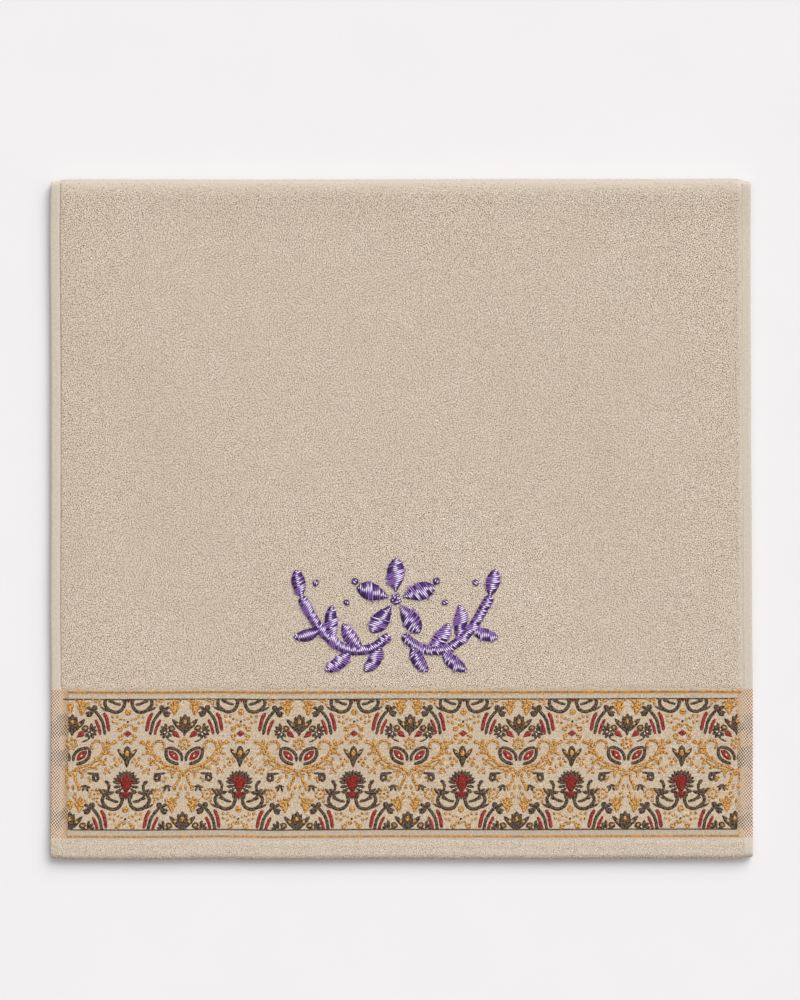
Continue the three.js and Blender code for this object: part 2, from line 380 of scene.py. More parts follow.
def make_chequered_selvedge():
    # Pattern yarns bound into plain weave: a fine slanting hatch of cream and peach, darker in bands
    material, tree = new_material("bound_pattern_yarns")
    flat = add(tree, "UVMap", uv_map="cloth")
    turned = add(tree, "Mapping", {
        "Vector": flat, "Rotation": (0, 0, math.radians(6)), "Scale": (1.0, 0.85, 1.0),
    })
    cells = add(tree, "TexChecker", {"Vector": turned, "Scale": 1 / (HATCH * MM)}).outputs["Fac"]
    across, along = add(tree, "SeparateXYZ", (flat,)).outputs[:2]
    other_side = add(tree, "Math", (TOWEL_WIDTH * MM, across), operation="SUBTRACT")
    to_side = add(tree, "Math", (across, other_side), operation="MINIMUM")
    near_edge = add(tree, "MapRange", (to_side, 5 * MM, 11.5 * MM, 1.0, 0.0))
    drift = add(tree, "TexNoise", {"Vector": flat, "Scale": 1 / (7 * MM), "Detail": 2.0})
    border = along_of(BORDER_START) * MM, along_of(BORDER_END) * MM
    up = add(tree, "MapRange", (along, *border, -0.15, 0.85))
    wandering = add(tree, "Math", (drift, 0.3, up), operation="MULTIPLY_ADD")
    bands = add(tree, "ValToRGB", (wandering,))
    stops = bands.color_ramp.elements
    for stop in stops:
        stop.color = (0.1, 0.1, 0.1, 1)
    for position, share in DARK_BY_HEIGHT:
        stops.new(position).color = (share, share, share, 1)
    speck = add(tree, "TexNoise", {"Vector": flat, "Scale": 1 / (0.9 * MM), "Detail": 1.0})
    level = add(tree, "Math", (bands, 0.26, speck), operation="MULTIPLY_ADD")
    is_dark = add(tree, "MapRange", (level, 0.55, 0.65))
    yarn = tinted(tree, linear("#ab8064"), (is_dark, "#55473b"))
    least = add(tree, "MapRange", (bands, 0.3, 1.0, 0.55, 1.0))
    bound = add(tree, "Math", (near_edge, least), operation="MAXIMUM")
    shown = add(tree, "Math", (cells, bound), operation="MULTIPLY")
    ground = mottled(tree, flat, "#c9ad8c", "#a68a6a", 1.0, 0.16)
    pale = add(tree, "Math", (near_edge, 0.75), operation="MULTIPLY")
    colour = add(tree, "Mix", (
        shown, tinted(tree, ground, (pale, "#e9d7c2")), yarn,
    ), data_type="RGBA")
    bump = add(tree, "Bump", {"Height": cells, "Strength": 0.5, "Distance": 0.2 * MM})
    return surface(material, {"Base Color": colour, "Roughness": 0.85, "Normal": bump})


selvedge = make_chequered_selvedge()
print("selvedge material:", selvedge.name)

# %% [markdown]
# ## The cloth itself
#
# The cloth is a closed sheet: an outer face, an inner face and the rim between them. A grid of stations
# along and across it is laid by the function above. The stations crowd where the cloth turns or changes
# thickness and are wide apart where it lies flat. Each cell of the grid knows its zone, and so its weave.

# %% Thickness of the cloth
FIELD_LEFT = 12.6  # mm from the left edge to the border's pattern, and the same on the right
FIELD_RIGHT = 11.0
# The loops that are made reach round each fold, but for the fifth of it that is turned down
LOOPS_FROM = TUCK_ENDS + 0.2 * TURN_LENGTH
LOOPS_TO = UPPER_TURN_ENDS - 0.2 * TURN_LENGTH
EDGE_WANDER = ((0.45, 7.1, 0), (0.35, 3.3, 1), (0.5, 41, 0))  # mm high, mm long for a radian, and phase
GROOVE_WIDTH = 0.5
FULL_OFF_FOLD, FULL_OFF_STRIP = 8, 4  # mm over which the pile rises behind a fold and beside the right strip


def edge_wander(across):
    """The terry's edge along the border isn't quite straight."""
    return sum(high * np.sin(across / long + phase) for high, long, phase in EDGE_WANDER)


def border_share(along, across):
    """1 in the flat border, 0 in the terry, and in between where the pile ends."""
    above = above_of(along)
    end = BORDER_END + edge_wander(across)
    inside = smooth((above - BORDER_START) / PILE_STEP + 1) * smooth((end - above) / PILE_STEP + 1)
    return np.where(on_face(along), inside, 0.0)


def loops_share(along):
    """1 where the loops are made one by one, 0 on the hidden underside."""
    return smooth((along - LOOPS_FROM) / 1.5) * smooth((LOOPS_TO - along) / 1.5)


def hem_share(along, across):
    """How far a place belongs to a side hem, and how far to an end hem."""
    to_side = to_edge(across, TOWEL_WIDTH)
    to_end = to_edge(along, CLOTH_LENGTH)
    side = 1 - smooth((to_side - SIDE_HEM_WIDTH + 0.2) / 0.9)
    end = 1 - smooth((to_end - END_HEM_WIDTH) / PILE_STEP)
    return side, end


def pile_height(along, across):
    """Height of the loops that are made, which lie lower at the folds and beside the right hem."""
    above = above_of(along)
    to_fold = to_edge(above, FACE_LENGTH)
    off_strip = TOWEL_WIDTH - LOW_PILE_WIDTH - across
    full = smooth((to_fold - 1) / FULL_OFF_FOLD) * smooth(off_strip / FULL_OFF_STRIP)
    low = np.where(above > FACE_LENGTH / 2, PALE_FOLD_PILE, FOLD_PILE)
    return low + (PILE - low) * full


def half_thickness(along, across, outer):
    """From the middle of the cloth to its surface. The outer one leaves room for the loops."""
    terry = TERRY / 2 - (pile_height(along, across) * loops_share(along) if outer else 0.0)
    half = terry + (FLAT_WEAVE / 2 - terry) * border_share(along, across)
    side, end = hem_share(along, across)
    half = half + (END_HEM / 2 - half) * end
    half = half + (SIDE_HEM / 2 - half) * side
    to_side = to_edge(across, TOWEL_WIDTH)
    if outer:
        seamed = (across > TOWEL_WIDTH / 2) | (above_of(along) > BORDER_END)
        groove = np.exp(-((to_side - SIDE_HEM_WIDTH - HEM_GROOVE) / GROOVE_WIDTH) ** 2)
        half = half - SEAM_DIP * groove * ((1 - border_share(along, across)) * seamed)
    to_end = to_edge(along, CLOTH_LENGTH)
    rim = np.clip(np.minimum(to_side, to_end) / RIM_ROUNDING, 0, 1)
    return RIM_LEFT / 2 + (half - RIM_LEFT / 2) * np.sqrt(1 - (1 - rim) ** 2)


# %% Stations of the grid
RIM_MARKS = [0, 0.25, 0.8, 1.5, 2.4]


def spread(start, end, step):
    count = max(1, round((end - start) / step))
    return list(np.linspace(start, end, count, endpoint=False))


def stations_across():
    hem = RIM_MARKS + [SIDE_HEM_WIDTH + mark for mark in (-1.6, -0.4, 0.3, 1)]
    left = hem + [FIELD_LEFT]
    right = [TOWEL_WIDTH - mark for mark in reversed(hem + [LOW_PILE_WIDTH, FIELD_RIGHT])]
    return np.array(left + spread(FIELD_LEFT, TOWEL_WIDTH - FIELD_RIGHT, 6)[1:] + right)


def stations_along():
    pile_from = END_HEM_WIDTH + PILE_STEP
    marks = RIM_MARKS + spread(5, END_HEM_WIDTH, 5) + spread(END_HEM_WIDTH, pile_from, 0.8)
    start, end = along_of(BORDER_START), along_of(BORDER_END)
    rows, at = list(marks), pile_from
    for stop, step in (
        (TUCK_ENDS, 7), (LOWER_TURN_ENDS, 0.6), (start - 2, 1.5), (start + 0.5, 0.5), (end - 0.5, 3),
        (end + 3.5, 0.5), (FACE_ENDS, 3), (UPPER_TURN_ENDS, 0.6), (CLOTH_LENGTH - pile_from, 7),
    ):
        rows += spread(at, stop, step)
        at = stop
    return np.array(rows + [CLOTH_LENGTH - mark for mark in reversed(marks + [pile_from])])


# %% Build the cloth
LOOPED, PLAIN, CHEQUERED, HEM = range(4)  # the weaves, in the order of the cloth's materials


def stand(name, data):
    """A new object, linked to the scene."""
    made = bpy.data.objects.new(name, data)
    bpy.context.scene.collection.objects.link(made)
    return made


def make_object(name, points_mm, faces, materials=(), zones=None, smooth_faces=True):
    mesh = bpy.data.meshes.new(name)
    mesh.from_pydata(np.asarray(points_mm) * MM, [], np.asarray(faces))
    for material in materials:
        mesh.materials.append(material)
    if zones is not None:
        mesh.polygons.foreach_set("material_index", np.asarray(zones, dtype=np.int32))
    mesh.polygons.foreach_set("use_smooth", np.full(len(mesh.polygons), smooth_faces))
    return stand(name, mesh)


def paint_uv(obj, name, flat_mm):
    """Give each corner of the mesh its vertex's place on the flat cloth, in metres."""
    mesh = obj.data
    corners = np.empty(len(mesh.loops), dtype=np.int32)
    mesh.loops.foreach_get("vertex_index", corners)
    layer = mesh.uv_layers.new(name=name)
    layer.uv.foreach_set("vector", (np.asarray(flat_mm)[corners] * MM).astype(np.float32).ravel())


def grid_faces(rows, columns, first=0, flip=False):
    """The four-sided faces of a grid of points that are numbered row by row from first."""
    index = first + np.arange(rows * columns).reshape(rows, columns)
    a, b, c, d = index[:-1, :-1], index[:-1, 1:], index[1:, 1:], index[1:, :-1]
    quads = np.stack([a, d, c, b] if flip else [a, b, c, d], axis=-1)
    return quads.reshape(-1, 4)


def zone_of(along, across):
    """The weave at the middle of a grid cell, as a number of a material."""
    above = above_of(along)
    in_border = on_face(along) & (above > BORDER_START) & (above < BORDER_END)
    beside = (across < FIELD_LEFT) | (across > TOWEL_WIDTH - FIELD_RIGHT)
    to_side = to_edge(across, TOWEL_WIDTH)
    to_end = to_edge(along, CLOTH_LENGTH)
    under_loops = (across < SIDE_HEM_WIDTH) & (along > TUCK_ENDS) & (above < BORDER_START)
    hem = ((to_side < SIDE_HEM_WIDTH) & ~under_loops) | (to_end < END_HEM_WIDTH)
    return np.where(in_border, np.where(beside, CHEQUERED, PLAIN), np.where(hem, HEM, LOOPED))


def make_cloth():
    rows, columns = stations_along(), stations_across()
    along, across = np.meshgrid(rows, columns, indexing="ij")
    outer = half_thickness(along, across, True)
    inner = half_thickness(along, across, False)
    top = lay(along, across, outer, below=outer).reshape(-1, 3)
    under = lay(along, across, -inner, below=outer).reshape(-1, 3)
    height, width = len(rows), len(columns)
    count = height * width
    faces = [grid_faces(height, width), grid_faces(height, width, first=count, flip=True)]
    index = np.arange(count).reshape(height, width)
    for edge in (index[:, 0][::-1], index[0, :], index[:, -1], index[-1, :][::-1]):
        faces.append(np.stack([edge[1:], edge[:-1], edge[:-1] + count, edge[1:] + count], axis=-1))
    middle_along = (rows[:-1, None] + rows[1:, None]) / 2 + 0 * columns[None, 1:]
    middle_across = (columns[None, :-1] + columns[None, 1:]) / 2 + 0 * rows[1:, None]
    zones = np.zeros(sum(len(part) for part in faces), dtype=np.int32)
    zones[:len(faces[0])] = zone_of(middle_along, middle_across).ravel()
    hidden = np.where(to_edge(middle_across, TOWEL_WIDTH) < SIDE_HEM_WIDTH, HEM, LOOPED)
    zones[len(faces[0]):2 * len(faces[0])] = hidden.ravel()
    zones[2 * len(faces[0]):] = HEM
    cloth = make_object(
        "folded_cloth", np.vstack([top, under]), np.vstack(faces),
        [terry_ground, flat_weave, selvedge, hem_weave], zones,
    )
    paint_uv(cloth, "cloth", np.tile(np.stack([across.ravel(), along.ravel()], axis=-1), (2, 1)))
    return cloth


cloth = make_cloth()
print("cloth faces:", len(cloth.data.polygons))

# %% [markdown]
# ## Terry loops
#
# A terry loop is a slack turn of warp yarn, about two millimetres long, that leans whichever way the last
# wash left it. Geometry Nodes scatter one short arch over each band of the cloth, turned and tilted at
# random. An attribute painted on the band keeps the loops off the hems and the border, and the bands
# keep each finished piece light.

# %% Helpers for Geometry Nodes
SOCKETS = {float: "NodeSocketFloat", int: "NodeSocketInt", type(None): "NodeSocketMaterial"}


def new_tree(name, inputs):
    """A node tree with named inputs and their defaults, where None stands for a material."""
    tree = bpy.data.node_groups.new(name, "GeometryNodeTree")
    for way in ("INPUT", "OUTPUT"):
        tree.interface.new_socket("Geometry", in_out=way, socket_type="NodeSocketGeometry")
    for label, default in inputs.items():
        socket = tree.interface.new_socket(label, in_out="INPUT", socket_type=SOCKETS[type(default)])
        if default is not None:
            socket.default_value = default
    return tree, add(tree, "GroupInput").outputs


def end_tree(tree, given, instances):
    """Give every instance a shade of its own, and end the tree in real geometry with its material."""
    shade = add(tree, "RandomValue", {0: 0.0, 1: 1.0, "Seed": given["Seed"]}, data_type="FLOAT")
    marked = add(tree, "StoreNamedAttribute", {
        "Geometry": instances, "Name": "shade", "Value": shade,
    }, data_type="FLOAT", domain="INSTANCE")
    real = add(tree, "RealizeInstances", (marked,))
    soft = add(tree, "SetShadeSmooth", (real,))
    dressed = add(tree, "SetMaterial", {"Geometry": soft, "Material": given["Material"]})
    add(tree, "GroupOutput", (dressed,))
    return tree


def grow(obj, tree, values):
    """Run a tree on an object and keep the result as its plain mesh."""
    modifier = obj.modifiers.new(tree.name, "NODES")
    modifier.node_group = tree
    for item in tree.interface.items_tree:
        if item.in_out == "INPUT" and item.name in values:
            modifier[item.identifier] = values[item.name]
    mesh = bpy.data.meshes.new_from_object(obj.evaluated_get(bpy.context.evaluated_depsgraph_get()))
    obj.modifiers.clear()
    plain, obj.data = obj.data, mesh
    mesh.name = obj.name
    bpy.data.meshes.remove(plain)
    return obj


# %% The tree that scatters loops
def make_loop_tree():
    tree, given = new_tree("terry_loops", {
        "Spacing": 1.2 * MM, "Length": 2.0 * MM, "Height": 1.0 * MM, "Yarn": 0.6 * MM, "Seed": 1,
        "Material": None,
    })
    pile = add(tree, "InputNamedAttribute", {"Name": "pile"}, data_type="FLOAT")
    points = add(tree, "DistributePointsOnFaces", {
        "Mesh": given["Geometry"], "Distance Min": given["Spacing"], "Density Max": 2.0e6,
        "Density Factor": pile, "Seed": given["Seed"],
    }, distribute_method="POISSON")
    half, back, curl, crown, side, other = [
        add(tree, "Math", (given[size], share), operation="MULTIPLY")
        for size, share in (
            ("Length", 0.5), ("Length", -0.5), ("Length", 0.35), ("Height", 2.0), ("Yarn", 0.5),
            ("Yarn", -0.5),
        )
    ]
    start, middle, end, right, left = [add(tree, "CombineXYZ", place) for place in (
        {"X": back}, {"Y": curl, "Z": crown}, {"X": half}, {"X": side}, {"X": other},
    )]
    arch = add(tree, "CurveQuadraticBezier", (3, start, middle, end))  # the fewest segments it can have
    profile = add(tree, "CurvePrimitiveLine", (right, left))
    loop = add(tree, "CurveToMesh", (arch, profile))
    tilts, sizes = ((-0.3, -0.3, 0.0), (0.3, 0.3, 2 * math.pi)), ((0.7, 0.75, 0.6), (1.25, 1.3, 1.25))
    turn, size = [
        add(tree, "RandomValue", {0: least, 1: most, "Seed": given["Seed"]}, data_type="FLOAT_VECTOR")
        for least, most in (tilts, sizes)
    ]
    return end_tree(tree, given, add(tree, "InstanceOnPoints", {
        "Points": points, "Instance": loop, "Rotation": turn, "Scale": size,
    }))


# %% Material of the loops
def make_loop_yarn(name, light, dark, deepest, gap_shade_by_border):
    # Soft-spun cotton yarn: matt, with a faint bloom at grazing angles where fibres stand out
    material, tree = new_material(name)
    place = add(tree, "TexCoord").outputs["Object"]
    # Painted light: loops are tinted darker towards the lower left and lighter towards the upper right, where
    # the light comes from
    towards_right = add(tree, "VectorMath", (place, (1.0, 0.8, 0.0)), operation="DOT_PRODUCT")
    painted_light_falloff = add(tree, "MapRange", (towards_right, -0.4, 0.4, 0.3, -0.1), clamp=False)
    up = add(tree, "SeparateXYZ", (place,)).outputs[1]
    half_face, half_border = FACE_LENGTH / 2, (BORDER_END - BORDER_START) / 2
    below_fold = add(tree, "MapRange", (up, (half_face - PALE_FOLD) * MM, (half_face - 4) * MM, 1.0, 0.7))
    middle = (BORDER_START + BORDER_END) / 2 - half_face
    off_border = add(tree, "Math", (up, middle * MM), operation="SUBTRACT")
    past_border = add(tree, "Math", (off_border,), operation="ABSOLUTE")
    # Painted shade: within 3 mm of the border the dark gaps are made deeper or fainter by the given factor,
    # deeper above the border where the pile slopes down to it
    gap_shade_at_border = add(tree, "MapRange", (
        past_border, half_border * MM, (half_border + 3) * MM, gap_shade_by_border, 1.0,
    ))
    fading = add(tree, "Math", (below_fold, gap_shade_at_border), operation="MULTIPLY")
    # Painted shade in the gaps between loops, weaker under the upper fold and deeper or fainter near the
    # border
    painted_gap_shade = add(tree, "Math", (dark_gaps(tree, place, deepest), fading), operation="MULTIPLY")
    shade = add(tree, "Attribute", attribute_name="shade").outputs["Fac"]
    varied = add(tree, "Math", (shade, 0.14, -0.07), operation="MULTIPLY_ADD")
    share = add(tree, "Math", (varied, painted_light_falloff), operation="ADD", use_clamp=True)
    colour = tinted(tree, mottled(tree, place, light, dark, 30, 0.2), (share, "#c9b69f"), (painted_gap_shade, "#44270e"))
    fibres = add(tree, "Bump", {"Height": painted_gap_shade, "Strength": 1.0, "Distance": 0.6 * MM}, invert=True)
    return surface(material, {
        "Base Color": colour, "Roughness": 0.9, "Specular IOR Level": 0.2, "Normal": fibres,
        "Sheen Weight": 0.15, "Sheen Roughness": 0.5,
    })


# %% Grow the loops band by band
BANDS = 5
ROOTED = 0.15  # mm by which a loop's feet lie below the ground's surface


def make_band(name, start, end, step, left=SIDE_HEM_WIDTH + HEM_GROOVE):
    """A patch of the terry's ground that loops grow on, with the pile's share painted on it."""
    rows = np.linspace(start, end, max(3, round((end - start) / step) + 1))
    right = TOWEL_WIDTH - SIDE_HEM_WIDTH
    by_hem = [mark for mark in (2.6, SIDE_HEM_WIDTH - 0.4, SIDE_HEM_WIDTH + 1.4) if mark > left + 0.3]
    columns = np.concatenate([
        [left], by_hem, np.linspace(SIDE_HEM_WIDTH + 3, right - 5, 120), [right - 3, right - 1.6, right],
    ])
    along, across = np.meshgrid(rows, columns, indexing="ij")
    ground = half_thickness(along, across, True) - ROOTED
    band = make_object(name, lay(along, across, ground).reshape(-1, 3), grid_faces(len(rows), len(columns)))
    above = above_of(along)
    # Beside the hems and on the upper fold the pile is thinner
    by_left = 0.3 + 0.7 * smooth((across - SIDE_HEM_WIDTH - HEM_GROOVE) / 1.2)
    by_right = 0.2 + 0.8 * smooth((right - across) / 4.5)
    beside_hem = np.where(above > BORDER_END, by_left * by_right, 1.0)
    bare = 2.5  # mm behind the fold's edge
    on_fold = 0.4 + 0.6 * smooth((FACE_LENGTH - above - bare) / (PALE_FOLD - bare))
    share = (1 - border_share(along, across)) * loops_share(along) * beside_hem * on_fold
    pile = band.data.attributes.new("pile", "FLOAT", "POINT")
    pile.data.foreach_set("value", share.ravel().astype(np.float32))
    return band


def make_loops():
    tree = make_loop_tree()
    yarn = make_loop_yarn("soft_spun_cotton_loops", "#fffbf2", "#f5e4d4", 1.38, 2.0)
    pressed = make_loop_yarn("pressed_cotton_loops", "#f6e2cb", "#efdbc4", 0.75, 0.5)
    cuts = np.linspace(along_of(BORDER_END - 1), UPPER_TURN_ENDS, BANDS + 1)
    bands = []
    for number in range(BANDS):
        band = make_band(f"terry_loops_{number + 1}", cuts[number], cuts[number + 1], 2.0)
        bands.append(grow(band, tree, {
            "Spacing": 0.93 * MM, "Length": 0.95 * MM, "Height": 0.28 * MM, "Yarn": 0.5 * MM,
            "Seed": number + 11, "Material": yarn,
        }))
    low = make_band("low_loops_below_border", TUCK_ENDS, along_of(BORDER_START + 1), 0.8, left=1.2)
    bands.append(grow(low, tree, {
        "Spacing": 0.9 * MM, "Length": 1.1 * MM, "Height": 0.3 * MM, "Yarn": 0.62 * MM, "Seed": 31,
        "Material": pressed,
    }))
    for band in bands:
        print(band.name, len(band.data.polygons))
    return bands


loop_bands = make_loops()

# %% [markdown]
# ## A border woven in coloured yarns
#
# The border is jacquard: where a dark, red, gold or cream yarn is wanted it floats over the ground weave,
# and so it stands up a little. Every motif can be made from two shapes, a leaf and a stem, each a path
# with a width at every point. A motif is a short list of them in millimetres: across from its axis, and
# up from the border's lower line. One half is drawn, and the other is its mirror image.

# %% Shapes of the pattern
REPEAT_UP = 69.3  # mm from a motif to its next repeat above
STITCH = 0.95  # mm between the points of a path
rng = np.random.default_rng(7)


def leaf(yarn, x, y, heading, length, width, bend=0.0, full=0.5, lift=0.0, blunt=0.65):
    """A leaf, petal or drop that starts at a point. heading is in degrees, with 90 up."""
    steps = max(4, math.ceil(length / STITCH))
    t = np.linspace(0, 1, steps + 1)
    angle = np.radians(heading + bend * (t - 0.5))
    pace = length / steps
    path = np.stack([
        x + pace * np.concatenate([[0], np.cumsum(np.cos(angle[:-1]))]),
        y + pace * np.concatenate([[0], np.cumsum(np.sin(angle[:-1]))]),
    ], axis=-1)
    swell = np.sin(math.pi * t ** (math.log(0.5) / math.log(full)))
    return yarn, path, width / 2 * np.clip(swell, 0, 1) ** blunt, lift


def leaves(yarn, *rows, **shape):
    """Leaves of one yarn, each given as x, y, heading, length and width, and if need be bend and full."""
    return [leaf(yarn, *row, **shape) for row in rows]


def along_path(path):
    """Distance along a path at each of its points."""
    return np.concatenate([[0], np.cumsum(np.linalg.norm(np.diff(path[:, :2], axis=0), axis=1))])


def through(points, step):
    """A smooth path through some points, as even steps of a Catmull-Rom curve."""
    points = np.asarray(points, dtype=float)
    ends = np.vstack([2 * points[0] - points[1], points, 2 * points[-1] - points[-2]])
    t = np.linspace(0, 1, 12, endpoint=False)[:, None]
    pieces = [
        0.5 * (2 * b + (c - a) * t + (2 * a - 5 * b + 4 * c - d) * t ** 2 + (3 * b - a - 3 * c + d) * t ** 3)
        for a, b, c, d in zip(ends, ends[1:], ends[2:], ends[3:])
    ]
    curve = np.vstack(pieces + [points[-1:]])
    gone = along_path(curve)
    even = np.linspace(0, gone[-1], max(3, math.ceil(gone[-1] / step) + 1))
    return np.stack([np.interp(even, gone, column) for column in curve.T], axis=-1)


def stem(yarn, width, *points):
    path = through(points, STITCH)
    ends = np.minimum(np.arange(len(path)), np.arange(len(path))[::-1])
    return yarn, path, width / 2 * np.clip(0.6 + 0.25 * ends, 0, 1), 0.0


def spots(yarn, size, *places, lift=0.0):
    """Small round stitches, no two alike."""
    made = []
    for x, y in places:
        heading, long, wide = rng.uniform((20, 0.9, 0.8), (160, 1.35, 1.15))
        turn = math.radians(heading)
        start = x - size * long / 2 * math.cos(turn), y - size * long / 2 * math.sin(turn)
        made.append(leaf(yarn, *start, heading, size * long, size * wide, lift=lift))
    return made


def ring(yarn, x, y, radius, count, size, first=0.0):
    angles = np.radians(first + 360 * np.arange(count) / count)
    return spots(yarn, size, *[(x + radius * math.cos(a), y + radius * math.sin(a)) for a in angles])


def pair(*shapes):
    """The shapes and their mirror images."""
    return list(shapes) + [(yarn, path * (-1, 1), half, lift) for yarn, path, half, lift in shapes]


# %% The palmette column
TULIP = [
    *leaves("dark", (0, 43.0, 90, 12.6, 4.8, 0, 0.55), (0, 50.0, 90, 8.8, 5.2)),
    *pair(leaf("dark", 0.5, 45.8, 58, 12.8, 3.0, -22, 0.66)),
    *pair(leaf("gold", 2.9, 53.0, 34, 3.6, 1.5, lift=0.25)),
    leaf("gold", 0, 50.8, 90, 5.0, 3.1, lift=0.25), leaf("dark", 0, 52.0, 90, 2.6, 0.7, lift=0.45),
    *pair(*spots("gold", 2.0, (4.2, 47.4), (5.6, 49.4), (8.6, 49.5), (7.2, 47.0), (8.0, 45.6))),
    *pair(*spots(
        "gold", 2.2, (6.9, 44.9), (10.6, 43.6), (13.0, 41.0), (15.0, 42.4), (15.6, 39.4), (12.0, 39.8),
    )),
    stem("gold", 1.7, (-3.3, 59.8), (-2.3, 61.4), (0, 62.1), (2.3, 61.4), (3.3, 59.8)),
    *pair(leaf("gold", 1.3, 60.2, 30, 2.4, 1.5)),
]
DIAMOND = [
    leaf("red", 0, 65.0, 90, 4.8, 3.4), *pair(leaf("red", 0, 67.4, 0, 3.0, 2.8, 0, 0.26)),
    leaf("gold", -2.0, 71.4, 30, 4.2, 2.2, -60),
    *pair(*leaves(
        "gold", (3.4, 70.4, 60, 2.8, 1.9), (4.6, 69.4, 30, 3.2, 1.9, 30), (6.4, 70.4, 95, 2.2, 1.6),
        (3.4, 64.8, 75, 2.8, 2.0), (5.6, 66.8, -95, 3.4, 2.3), (3.2, 63.2, 10, 3.2, 1.8),
    )),
]
SCATTERED_DOTS = [
    *spots("black", 1.8, (0, 6.5)),
    *pair(
        *leaves("gold", (1.6, 7.4, 20, 2.3, 1.5), (1.7, 4.8, -30, 2.5, 1.6)),
        *spots("gold", 2.1, (5.2, 8.6), (7.6, 10.3), (10.9, 10.2), (10.6, 6.6), (7.8, 5.8)),
        leaf("gold", 4.6, -0.6, 80, 2.6, 1.9),
    ),
    leaf("gold", 0, 10.8, 90, 5.2, 4.0, 0, 0.45), leaf("dark", 0, 12.0, 90, 2.4, 0.6, lift=0.25),
]
PALMETTE = [
    *[leaf("dark", 2.4 * math.cos(a), 33.2 + 2.4 * math.sin(a), math.degrees(a), length, 2.7, blunt=0.8)
      for a, length in zip(
          np.radians(np.linspace(14, 166, 9)), (7.4, 6.4, 6.8, 5.8, 6.0, 5.8, 6.8, 6.4, 7.4))],
    leaf("dark", 0, 30.4, 90, 8.0, 8.6),
    *pair(
        *leaves(
            "dark", (2.4, 32.0, 12, 7.6, 2.5, 22, 0.6), (2.4, 30.4, -8, 6.8, 2.5, 22, 0.6),
            (2.4, 28.8, -28, 5.8, 2.5, 22, 0.6), (3.0, 34.0, -106, 9.4, 2.4),
            (1.2, 26.0, 6, 7.4, 1.8, 60, 0.6), (4.6, 25.8, -110, 7.0, 2.4, -10),
        ),
        leaf("cream", 4.6, 27.6, 20, 2.0, 1.1),
        *leaves("crimson", (1.4, 32.8, 24, 5.4, 2.2), (0.4, 24.0, 24, 4.4, 1.8), lift=0.25),
    ),
    *leaves("crimson", (0, 26.0, 90, 12.6, 7.2), (0, 19.9, 90, 6.1, 4.3, 0, 0.7), lift=0.25),
]
SCROLLS = pair(
    stem("dark", 2.5, (2.2, 24.6), (2.6, 19.6), (4.6, 15.2), (8.6, 13.4), (13.0, 14.6), (16.4, 18.2),
         (16.6, 21.4), (15.2, 23.4)),
    stem("dark", 2.0, (14.6, 22.6), (17.0, 25.2), (19.4, 28.2)),
    leaf("dark", 11.8, 13.9, 24, 9.4, 1.9, 22),
    stem("dark", 2.0, (5.2, 18.7), (9.6, 19.8), (12.7, 22.4), (13.2, 25.4), (12.3, 28.4), (12.8, 31.2),
         (15.2, 33.8)),
    *leaves(
        "dark", (13.4, 24.4, 164, 5.4, 2.6), (13.0, 28.4, 118, 3.4, 2.0), (13.2, 22.6, 70, 5.8, 2.6),
        (12.4, 30.6, 62, 4.2, 2.6), (12.6, 24.6, 38, 5.6, 2.2), (9.4, 20.4, 12, 5.4, 2.2),
    ),
)
BARS_AND_CLOVER = pair(
    stem("red", 2.5, (17.3, 12.9), (15.0, 8.2), (13.4, 0.0)),
    stem("dark", 2.3, (24.0, 14.6), (20.4, 10.4), (18.0, 6.0), (16.6, 0.0), (16.0, -2.6)),
    stem("red", 2.1, (23.2, 8.0), (20.8, 3.0), (19.3, -2.6)),
    *leaves(
        "dark", (25.6, 13.6, 122, 5.6, 4.2, 0, 0.6), (24.2, 14.0, 32, 6.2, 2.6, 0, 0.66),
        (24.0, 14.8, -40, 7.2, 4.2, 0, 0.62), (24.0, 14.0, -12, 7.0, 2.0),
    ),
)
GOLD_SPRAY = pair(*leaves(
    "gold", (33.2, 10.6, 94, 9.2, 3.9), (32.8, 13.8, 132, 5.2, 2.4), (33.6, 15.0, 46, 4.6, 2.2),
    (32.6, 16.4, 124, 5.6, 2.1), (33.6, 17.4, 62, 5.4, 2.1), (32.8, 18.4, 98, 4.8, 1.9),
    (28.8, 18.0, 110, 3.0, 1.6), (36.8, 20.6, 70, 3.0, 1.6), full=0.55,
))
GOLD_ROSETTE = pair(
    *ring("gold", 22.6, 24.3, 3.3, 7, 2.4, 20), *spots("gold", 1.9, (22.6, 24.3), (20.3, 19.2)),
)
SMALL_DARK_FLOWERS = pair(
    stem("dark", 1.7, (19.8, 38.9), (23.4, 38.8), (27.8, 39.2)),
    *leaves("dark", (20.6, 39.2, -98, 5.6, 2.0), (24.4, 38.6, -112, 4.6, 1.9)),
    *ring("dark", 22.0, 35.9, 1.9, 6, 2.5, 20),
    stem("dark", 1.4, (25.4, 28.6), (28.4, 29.8), (32.2, 29.7)),
    *leaves("dark", (26.4, 29.2, 20, 4.6, 1.9), (28.8, 29.8, -118, 4.4, 2.0), (29.6, 29.8, -66, 4.2, 1.8)),
)
PALMETTE_COLUMN = (
    TULIP + DIAMOND + SCATTERED_DOTS + PALMETTE + SCROLLS + BARS_AND_CLOVER + GOLD_SPRAY + GOLD_ROSETTE
    + SMALL_DARK_FLOWERS
)

